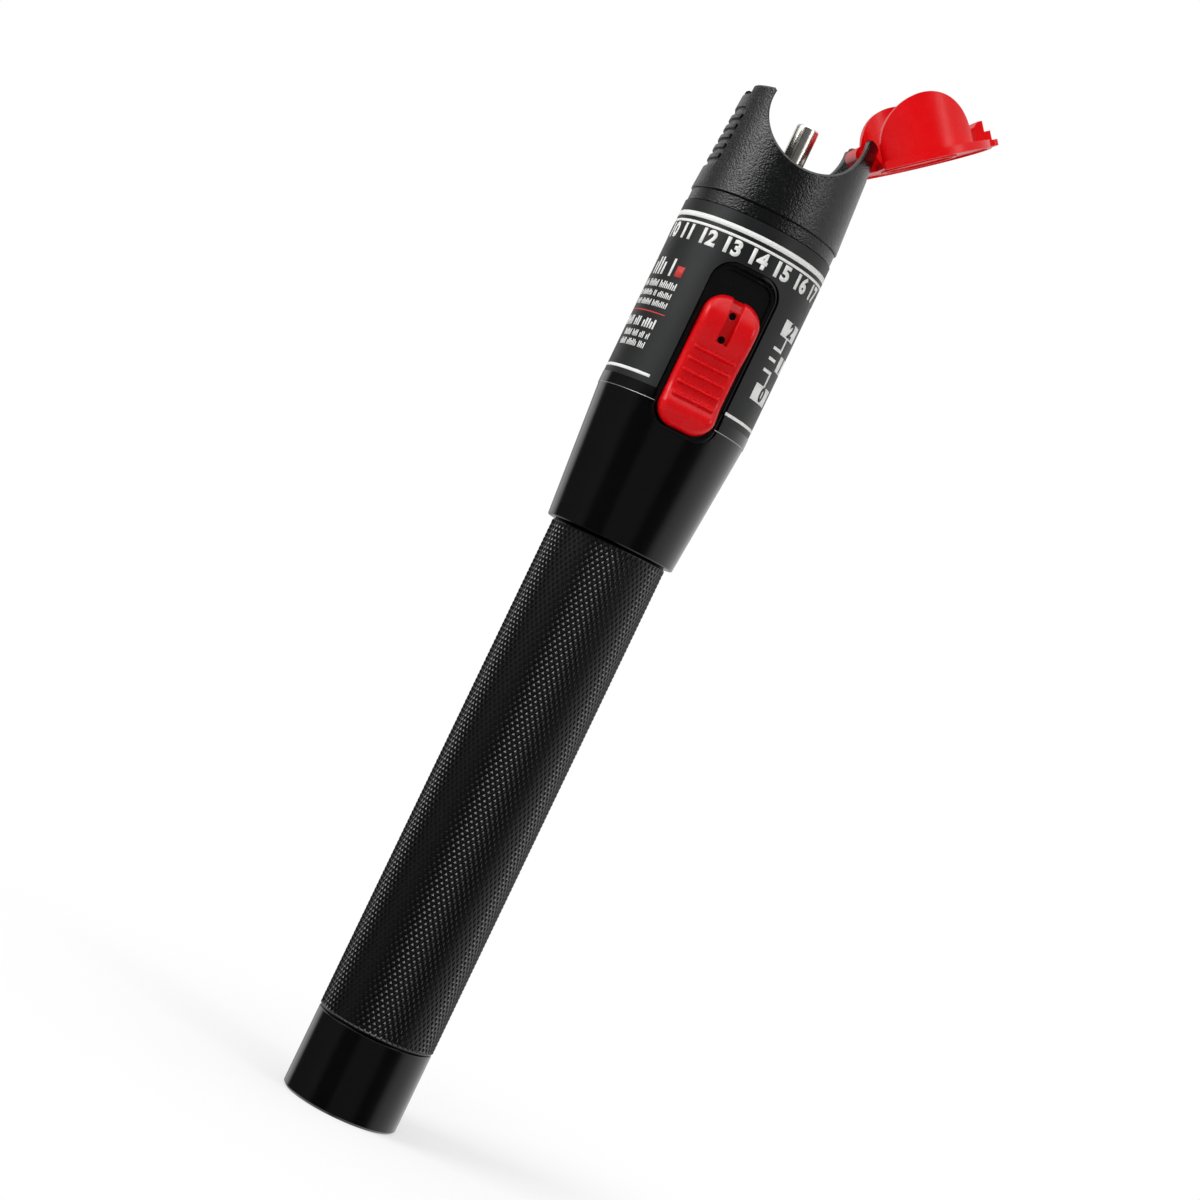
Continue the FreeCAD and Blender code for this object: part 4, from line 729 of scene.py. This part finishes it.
def wrapped_patches(name, patches, lift, material):
    """Printed patches that follow the film.

    A patch is (left, right, low, high), as in the film's layout. Each is a strip of the cylinder,
    (R sin a, -R cos a, z), cut every degree or two.
    """
    points, faces, count = [], [], 0
    radius = LABEL_RADIUS + lift
    for left, right, low, high in patches:
        cuts = max(2, int((right - left) / PATCH_STEP) + 1)
        angle = np.radians(left + np.linspace(0, 1, cuts) * (right - left))
        for level in (low, high):
            points.append(np.stack([radius * np.sin(angle), -radius * np.cos(angle),
                                    np.full(cuts, LABEL_LOW.z + level * MM)], -1))
        start = count + np.arange(cuts - 1)
        faces.append(np.stack([start, start + 1, start + cuts + 1, start + cuts], -1))
        count += 2 * cuts
    return print_piece(name, points, faces, material)


def numeral_outline(text, size):
    """Flat filled figure of the given size, centred, as arrays of points and of triangles."""
    curve = bpy.data.curves.new("numeral", "FONT")
    curve.body = text
    curve.size = size * MM
    curve.align_x = "CENTER"
    curve.align_y = "CENTER"
    curve.offset = NUMERAL_WEIGHT * size * MM
    curve.resolution_u = 4
    flat = bpy.data.objects.new("numeral", curve)
    bpy.context.scene.collection.objects.link(flat)
    bpy.context.view_layer.update()
    shaped = flat.evaluated_get(bpy.context.evaluated_depsgraph_get())
    mesh = bpy.data.meshes.new_from_object(shaped)
    bpy.data.objects.remove(flat)
    points = np.empty(len(mesh.vertices) * 3, np.float32)
    mesh.vertices.foreach_get("co", points)
    mesh.calc_loop_triangles()
    faces = np.empty(len(mesh.loop_triangles) * 3, np.int32)
    mesh.loop_triangles.foreach_get("vertices", faces)
    bpy.data.meshes.remove(mesh)
    return points.reshape(-1, 3), faces.reshape(-1, 3)


def wrapped_numerals(name, figures, size, material):
    """Numerals bent round the film: x of each flat figure becomes the angle x / R, y the height.

    A figure is (text, angle, height), as a patch's angles and heights are.
    """
    radius = LABEL_RADIUS + NUMERAL_LIFT
    points, faces, count = [], [], 0
    for text, angle, height in figures:
        flat, outline = numeral_outline(text, size)
        turn = math.radians(angle) + flat[:, 0] / radius
        level = LABEL_LOW.z + height * MM + flat[:, 1]
        points.append(np.stack([radius * np.sin(turn), -radius * np.cos(turn), level], -1))
        faces.append(outline + count)
        count += len(flat)
    return print_piece(name, points, faces, material)


def row_of_marks(right, low, high, groups, width, gap):
    """Upright marks in groups, ending at an angle on the right, as patches.

    Groups are how many marks each holds, from the right. A mark and the gap after it are the given
    angles wide, and two gaps and a half part the groups. Every third mark is a little shorter.
    """
    counts = np.array(groups)
    group = np.repeat(np.arange(len(counts)), counts)
    number = np.arange(counts.sum())
    ends = right - number * (width + gap) - group * 2.5 * gap
    tops = np.where(number % 3 == 1, low + 0.72 * (high - low), high)
    return [(end - width, end, low, top) for end, top in zip(ends.tolist(), tops.tolist())]


def make_label_print():
    """Stripes, ring numbers, rows of marks, scale marks and boxes of the film, as plain shapes, and
    a painted highlight along the shoulder's edge.
    """
    marks = [mark for row in MARK_ROWS for mark in row_of_marks(*row)]
    wrapped_patches("label_marks", [*STRIPES, *marks, *TICKS, *UPRIGHTS], PRINT_LIFT, PALE_INK)
    wrapped_patches("label_boxes", BOXES, PRINT_LIFT, PALE_INK)
    wrapped_patches("label_red_marks", [RED_RULE, RED_SQUARE], PRINT_LIFT, RED_INK)
    wrapped_numerals("box_numerals", [
        (text, (left + right) / 2, (low + high) / 2)
        for text, (left, right, low, high) in zip("210", BOXES)
    ], BOX_NUMBER_SIZE, DARK_INK)
    step = 360 / RING_NUMBERS
    wrapped_numerals("ring_numerals", [
        (str(number + 1), step * number + RING_NUMBER_START, RING_NUMBER_HEIGHT)
        for number in range(RING_NUMBERS)
    ], RING_NUMBER_SIZE, PALE_INK)
    # painted highlight: a bright strip in bare-aluminium colour along the shoulder's edge
    wrapped_patches("painted_shoulder_highlight", SHOULDER_HIGHLIGHT, EDGE_LIFT, EDGE_HIGHLIGHT_PAINT)


# ------------------------------------------------------------------ the slide button


def button_drop(across, along, edge):
    """How far the button's front lies behind its crests, at x across and z above its lower end.

    Along z it is a row of straight slopes, averaged over 2 mm twice. A rib takes off
    h (1 - (d / w)^2) at a distance d from its middle line. The notch lies at least a given depth
    behind the front, and each hole is a round well in its floor. Near the outline the rim adds
    r - sqrt(r^2 - (r - d)^2), where d is the distance inwards.
    """
    fine = np.arange(-3.0, 26.0, 0.05)
    slopes = np.interp(fine, *BUTTON_PROFILE)
    window = np.ones(40) / 40
    slopes = np.convolve(np.convolve(slopes, window, "same"), window, "same")
    drop = np.interp(along / MM, fine, slopes) * MM
    beyond = np.maximum(np.abs(across) - RIB_HALF_LENGTH, 0)
    ribs = [np.hypot(beyond, along - height * MM) for height in RIB_HEIGHTS]
    near = np.clip(1 - (np.minimum.reduce(ribs) / RIB_HALF_WIDTH) ** 2, 0, 1)
    front = drop - RIB_RISE * near
    start = BUTTON_HIGH.z - BUTTON_LOW.z - NOTCH_LENGTH
    inside = (np.clip((NOTCH_HALF_WIDTH - np.abs(across)) / WALL_RUN + 0.5, 0, 1)
              * np.clip((along - start) / WALL_RUN + 0.5, 0, 1))
    floor = np.maximum(NOTCH_DROP, drop + NOTCH_LEAST_DEPTH)
    wells = [np.hypot(across, along - height * MM) for height in HOLE_HEIGHTS]
    well = np.clip((HOLE_RADIUS - np.minimum(*wells)) / WALL_RUN + 0.5, 0, 1)
    front += inside * (floor - front) + well * HOLE_DEPTH
    left = BUTTON_RIM - np.minimum(edge, BUTTON_RIM)
    return front + BUTTON_RIM - np.sqrt(np.maximum(BUTTON_RIM ** 2 - left ** 2, 0)), well


def button_grid():
    """Grid of the button's front: x across, z above its lower end, and distance from the outline.

    Column j stands at x, a share of the straight part or c + r sin t past the corner's middle c;
    its ends lie on the outline, r (1 - cos t) short of the button's. Rows are straight in the
    middle and closer together towards both ends.
    """
    half = BUTTON_HIGH.x
    length = BUTTON_HIGH.z - BUTTON_LOW.z
    flat = half - BUTTON_CORNER
    turn = np.radians(np.concatenate([np.arange(2.0, 60.0, 1.4), np.arange(60.0, 90.1, 2.5)]))
    straight = np.arange(0, flat + 0.01 * MM, 0.05 * MM)
    right = np.concatenate([straight, flat + BUTTON_CORNER * np.sin(turn)])
    short = np.concatenate([np.zeros(len(straight)), BUTTON_CORNER * (1 - np.cos(turn))])
    column = np.concatenate([-right[:0:-1], right])
    short = np.concatenate([short[:0:-1], short])
    end = BUTTON_CORNER + 1.0 * MM
    eased = 1 - np.sin(np.radians(np.arange(90.0, 0.0, -1.6)))
    middle = np.linspace(end, length - end, int((length - 2 * end) / (0.07 * MM)))
    low = short[None] + (end - short[None]) * eased[:, None]
    high = length - low[::-1]
    across = np.repeat(column[None], len(eased) * 2 + len(middle), axis=0)
    along = np.concatenate([low, np.repeat(middle[:, None], len(column), axis=1), high])
    past = np.maximum(np.abs(across) - flat, 0)
    over = np.maximum(np.abs(along - length / 2) - (length / 2 - BUTTON_CORNER), 0)
    edge = np.maximum(BUTTON_CORNER - np.hypot(past, over), 0)
    edge = np.where(over > 0, edge, half - np.abs(across))
    edge = np.where((past > 0) | (over == 0), edge, length / 2 - np.abs(along - length / 2))
    return across, along, edge


def button_stem(back):
    """Corners of the button's stem: a square tube from its open end to just inside the back.

    They come as four rings of four: the bore's inner and outer end, then the outside's.
    """
    corners = np.array([[-1, -1], [1, -1], [1, 1], [-1, 1]])
    middle = BUTTON_LOW.z + STEM_HEIGHT
    root = back - STEM_ROOT
    rings = [(STEM_HOLE, STEM_HOLE, root), (STEM_HOLE, STEM_HOLE, BUTTON_HIGH.y),
             (STEM_HALF_WIDTH, STEM_HALF_LENGTH, BUTTON_HIGH.y),
             (STEM_HALF_WIDTH, STEM_HALF_LENGTH, root)]
    return np.concatenate([
        np.stack([corners[:, 0] * wide, np.full(4, depth), middle + corners[:, 1] * tall], -1)
        for wide, tall, depth in rings
    ])


def make_slide_button():
    """Thumb button: a dished and ribbed front on a rounded rectangle, closed behind, and its stem.

    The front's edge runs straight back, (x, y, z) to (x, back, z), and the back is a flat fan of
    triangles round its middle. The faces in the two holes are painted black, as painted shade down
    the holes.
    """
    across, along, edge = button_grid()
    drop, well = button_drop(across, along, edge)
    front = np.stack([across, BUTTON_LOW.y + drop, BUTTON_LOW.z + along], -1).reshape(-1, 3)
    index = np.arange(len(front)).reshape(across.shape)
    a, b, c, d = index[:-1, :-1], index[:-1, 1:], index[1:, 1:], index[1:, :-1]
    faces = [np.stack([a, b, c], -1).reshape(-1, 3), np.stack([a, c, d], -1).reshape(-1, 3)]

    back = BUTTON_LOW.y + BUTTON_BACK_DROP
    loop = np.concatenate([index[0, :-1], index[:-1, -1], index[-1, :0:-1], index[:0:-1, 0]])
    foot = len(front) + np.arange(len(loop))
    centre = np.full(len(loop), len(front) + len(loop))
    after, foot_after = np.roll(loop, -1), np.roll(foot, -1)
    faces += [np.stack([loop, foot, foot_after], -1), np.stack([loop, foot_after, after], -1),
              np.stack([foot, centre, foot_after], -1)]
    base = front[loop] * [1, 0, 1] + [0, back, 0]
    hub = [[0.0, back, (BUTTON_LOW.z + BUTTON_HIGH.z) / 2]]

    stem = button_stem(back)
    stem_faces = ring_triangles(4, 4, np.ones((4, 4), bool)) + centre[0] + 1
    points = np.concatenate([front, base, hub, stem])
    faces = np.concatenate([*faces, stem_faces])
    piece = mesh_piece("ribbed_button", points, faces)
    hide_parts("slide_button")
    settle(piece, "switch_slide", "red_plastic", RED_BUTTON, MATT_BLACK)
    # the second material, black, is painted shade on the faces down the two holes
    depth = np.zeros(len(points))
    depth[:len(front)] = well.ravel()
    hole_shade_faces = depth[faces].max(1) > 0.5
    piece.data.polygons.foreach_set("material_index", hole_shade_faces.astype(np.int32))
    flat_from = len(faces) - len(stem_faces)
    piece.data.polygons.foreach_set("use_smooth", np.arange(len(faces)) < flat_from)


# ------------------------------------------------------------------ the pieces

make_knurled_grip()
make_tail_spring()
make_seal_ring()
make_label_film()
make_label_print()
make_slide_button()

# these keep their CAD form
smooth_copy("tail_cap", "tail", "black_anodised", ANODISED)
smooth_copy("front_barrel", "barrel", "black_anodised", ANODISED)
smooth_copy("switch_bezel", "barrel", "gloss_black_plastic", GLOSS_BLACK)
smooth_copy("crown_guard", "barrel", "crown_plastic", GRAINED, sharp=50.0)
smooth_copy("dust_cap", "port_cover", "red_plastic", RED_CAP, axis_smooth=False)
smooth_copy("connector_tube", "barrel", "nickel_plate", NICKEL)
smooth_copy("ceramic_sleeve", "barrel", "zirconia", ZIRCONIA)

INNER_FINISHES = {
    "battery_rear": CELL, "battery_front": CELL, "switch_lever": MATT_BLACK,
    "slide_switch_shell": SWITCH_STEEL, "circuit_board": LAMINATE, "driver_chip": MATT_BLACK,
    "capacitor_1": CAPACITOR, "capacitor_2": CAPACITOR, "capacitor_3": CAPACITOR,
    "resistor_1": MATT_BLACK, "resistor_2": MATT_BLACK, "resistor_3": MATT_BLACK,
    "resistor_4": MATT_BLACK, "battery_contact_plate": NICKEL, "board_carrier": MATT_BLACK,
    "ground_clip": BRONZE, "laser_holder": BRASS, "laser_diode": NICKEL, "coupling_lens": GLASS,
    "fibre_stub": ZIRCONIA,
}
for node, finish in INNER_FINISHES.items():
    set_material(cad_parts[node], finish)


# ------------------------------------------------------------------ floor, light and camera


def worked_out(tree, operation, *values):
    """Result of a sum or comparison of numbers or outputs."""
    node = add_node(tree, "ShaderNodeMath", dict(enumerate(values)), operation=operation)
    return node.outputs["Value"]


def smoothly(tree, value, low, high, start=0.0, end=1.0):
    """Number that eases from start to end while the value goes from low to high."""
    return add_node(tree, "ShaderNodeMapRange", {
        "Value": value, "From Min": low, "From Max": high, "To Min": start, "To Max": end,
    }, interpolation_type="SMOOTHSTEP").outputs["Result"]


def make_floor():
    """White studio floor: a disc in full light that turns into the plain white of the sweep."""
    radius = np.array([0.0001, 0.02, 0.06, 0.12, 0.3, 3.0])
    rows, sides = len(radius), 96
    angle = np.arange(sides) * 2 * math.pi / sides
    points = np.stack([radius[:, None] * np.cos(angle), radius[:, None] * np.sin(angle),
                       np.zeros((rows, sides))], -1).reshape(-1, 3)
    row, column = np.meshgrid(np.arange(rows - 1), np.arange(sides), indexing="ij")
    beside = (column + 1) % sides
    faces = np.stack([row * sides + column, (row + 1) * sides + column,
                      (row + 1) * sides + beside, row * sides + beside], -1).reshape(-1, 4)
    floor = mesh_piece("studio_floor", points, faces)
    material = bpy.data.materials.new("white_studio_card")
    material.use_nodes = True
    tree = material.node_tree
    tree.nodes.clear()
    place = add_node(tree, "ShaderNodeTexCoord").outputs["Object"]
    reach = add_node(tree, "ShaderNodeVectorMath", {0: place}, operation="LENGTH").outputs["Value"]
    path = add_node(tree, "ShaderNodeLightPath").outputs
    seen = worked_out(tree, "MAXIMUM", path["Is Camera Ray"], path["Is Glossy Ray"])
    seen = worked_out(tree, "MAXIMUM", seen, path["Is Transmission Ray"])
    share = worked_out(tree, "MULTIPLY", smoothly(tree, reach, *CARD_EDGE, CARD_WHITE, 1.0), seen)
    card = add_node(tree, "ShaderNodeBsdfDiffuse", {"Color": linear("#fbfbfb")})
    sweep = add_node(tree, "ShaderNodeEmission", {"Color": (1.0, 1.0, 1.0, 1.0), "Strength": 1.0})
    mixed = add_node(tree, "ShaderNodeMixShader", {"Fac": share})
    tree.links.new(card.outputs["BSDF"], mixed.inputs[1])
    tree.links.new(sweep.outputs["Emission"], mixed.inputs[2])
    output = add_node(tree, "ShaderNodeOutputMaterial")
    tree.links.new(mixed.outputs["Shader"], output.inputs["Surface"])
    set_material(floor, material)
    floor.visible_glossy = False


def gloss_level(tree, towards):
    """How bright gloss sees the room in the direction that it looks.

    It sees white on the right and behind on the left, a greyer strip straight behind, a raised
    white panel on each side, white overhead, and a dim room in front with two faint patches of
    light. A direction's turn about Z is atan2(direction . right, direction . front).
    """
    height = add_node(tree, "ShaderNodeSeparateXYZ", {"Vector": towards}).outputs["Z"]
    front = add_node(tree, "ShaderNodeVectorMath", {
        0: towards, 1: (-math.sin(CAMERA_TURN), -math.cos(CAMERA_TURN), 0.0),
    }, operation="DOT_PRODUCT").outputs["Value"]
    right = add_node(tree, "ShaderNodeVectorMath", {
        0: towards, 1: (math.cos(CAMERA_TURN), -math.sin(CAMERA_TURN), 0.0),
    }, operation="DOT_PRODUCT").outputs["Value"]
    turn = worked_out(tree, "ARCTAN2", right, front)
    place = add_node(tree, "ShaderNodeMapRange", {
        "Value": turn, "From Min": -math.pi, "From Max": math.pi,
    }).outputs["Result"]
    around = add_node(tree, "ShaderNodeValToRGB", {"Fac": place})
    ramp = around.color_ramp
    for number, (stop, level) in enumerate(SURROUND_LEVELS):
        mark = ramp.elements[number] if number < 2 else ramp.elements.new(stop)
        mark.position = stop
        mark.color = (level, level, level, 1.0)
    aside = worked_out(tree, "ABSOLUTE", turn)
    panel = worked_out(tree, "MULTIPLY", smoothly(tree, aside, *PANEL_IN),
                       smoothly(tree, aside, *PANEL_OUT, 1.0, 0.0))
    panel = worked_out(tree, "MULTIPLY", panel, smoothly(tree, height, *PANEL_FOOT))
    lit = worked_out(tree, "MAXIMUM", around.outputs["Color"], panel)
    return worked_out(tree, "MAXIMUM", lit, smoothly(tree, height, *OVERHEAD))


def light_world():
    """White sweep behind, dim room in front.

    The camera and clear parts see plain white, and gloss sees the room. As a light the
    surroundings are even.
    """
    world = bpy.data.worlds.new("studio")
    bpy.context.scene.world = world
    world.use_nodes = True
    tree = world.node_tree
    tree.nodes.clear()
    towards = add_node(tree, "ShaderNodeTexCoord").outputs["Generated"]
    path = add_node(tree, "ShaderNodeLightPath").outputs
    plain = worked_out(tree, "MAXIMUM", path["Is Camera Ray"], path["Is Transmission Ray"])
    gloss = add_node(tree, "ShaderNodeMix", {
        "Factor": path["Is Glossy Ray"], "A": AMBIENT, "B": gloss_level(tree, towards),
    }, data_type="FLOAT").outputs["Result"]
    strength = add_node(tree, "ShaderNodeMix", {
        "Factor": plain, "A": gloss, "B": 1.0,
    }, data_type="FLOAT").outputs["Result"]
    surround = add_node(tree, "ShaderNodeBackground", {
        "Color": (1.0, 1.0, 1.0, 1.0), "Strength": strength,
    })
    output = add_node(tree, "ShaderNodeOutputWorld")
    tree.links.new(surround.outputs["Background"], output.inputs["Surface"])


def add_softbox(name, place, target, width, height, level):
    """Rectangular area light that faces a point; its power is pi times its area times its level."""
    lamp = bpy.data.lights.new(name, "AREA")
    lamp.shape = "RECTANGLE"
    lamp.size = width
    lamp.size_y = height
    lamp.energy = math.pi * width * height * level
    holder = bpy.data.objects.new(name, lamp)
    bpy.context.scene.collection.objects.link(holder)
    away = Vector(place) - Vector(target)
    turn = away.to_track_quat("Z", "Y").to_matrix().to_4x4()
    holder.matrix_world = Matrix.Translation(place) @ turn
    holder.visible_camera = False


def set_camera():
    """Camera of the product view: turned to the object's right, tipped a little and rolled."""
    turn, tip, roll = CAMERA_TURN, math.radians(1.28), math.radians(25.65)
    distance, aside, below = 418.0 * MM, 3.05 * MM, 0.36 * MM
    aim = Vector((0.0, 0.0, 90.0 * MM))
    unturn = Matrix.Rotation(-turn, 3, "Z")
    look = unturn @ Vector((0.0, math.cos(tip), math.sin(tip)))
    right = unturn @ Vector((math.cos(roll), -math.sin(roll) * math.sin(tip),
                             math.sin(roll) * math.cos(tip)))
    up = unturn @ Vector((-math.sin(roll), -math.cos(roll) * math.sin(tip),
                          math.cos(roll) * math.cos(tip)))
    place = aim + right * aside - look * distance + up * below
    lens = bpy.data.cameras.new("product_view")
    lens.lens = 77.6
    lens.sensor_width = 36.0
    lens.clip_start = 0.01
    camera = bpy.data.objects.new("product_view", lens)
    bpy.context.scene.collection.objects.link(camera)
    pose = Matrix((right, up, -look)).transposed().to_4x4()
    camera.matrix_world = Matrix.Translation(place) @ pose
    bpy.context.scene.camera = camera


make_floor()
light_world()
MIDDLE = (0.0, 0.0, 0.11)
add_softbox("left_softbox", (-0.77, -0.24, 0.6), MIDDLE, 0.5, 0.5, 6.0)
add_softbox("right_softbox", (0.62, -0.64, 0.55), MIDDLE, 0.25, 0.35, 5.0)
add_softbox("top_softbox", (0.0, -0.2, 1.1), MIDDLE, 1.0, 1.0, 1.5)
set_camera()
bpy.context.scene.view_settings.view_transform = "Standard"
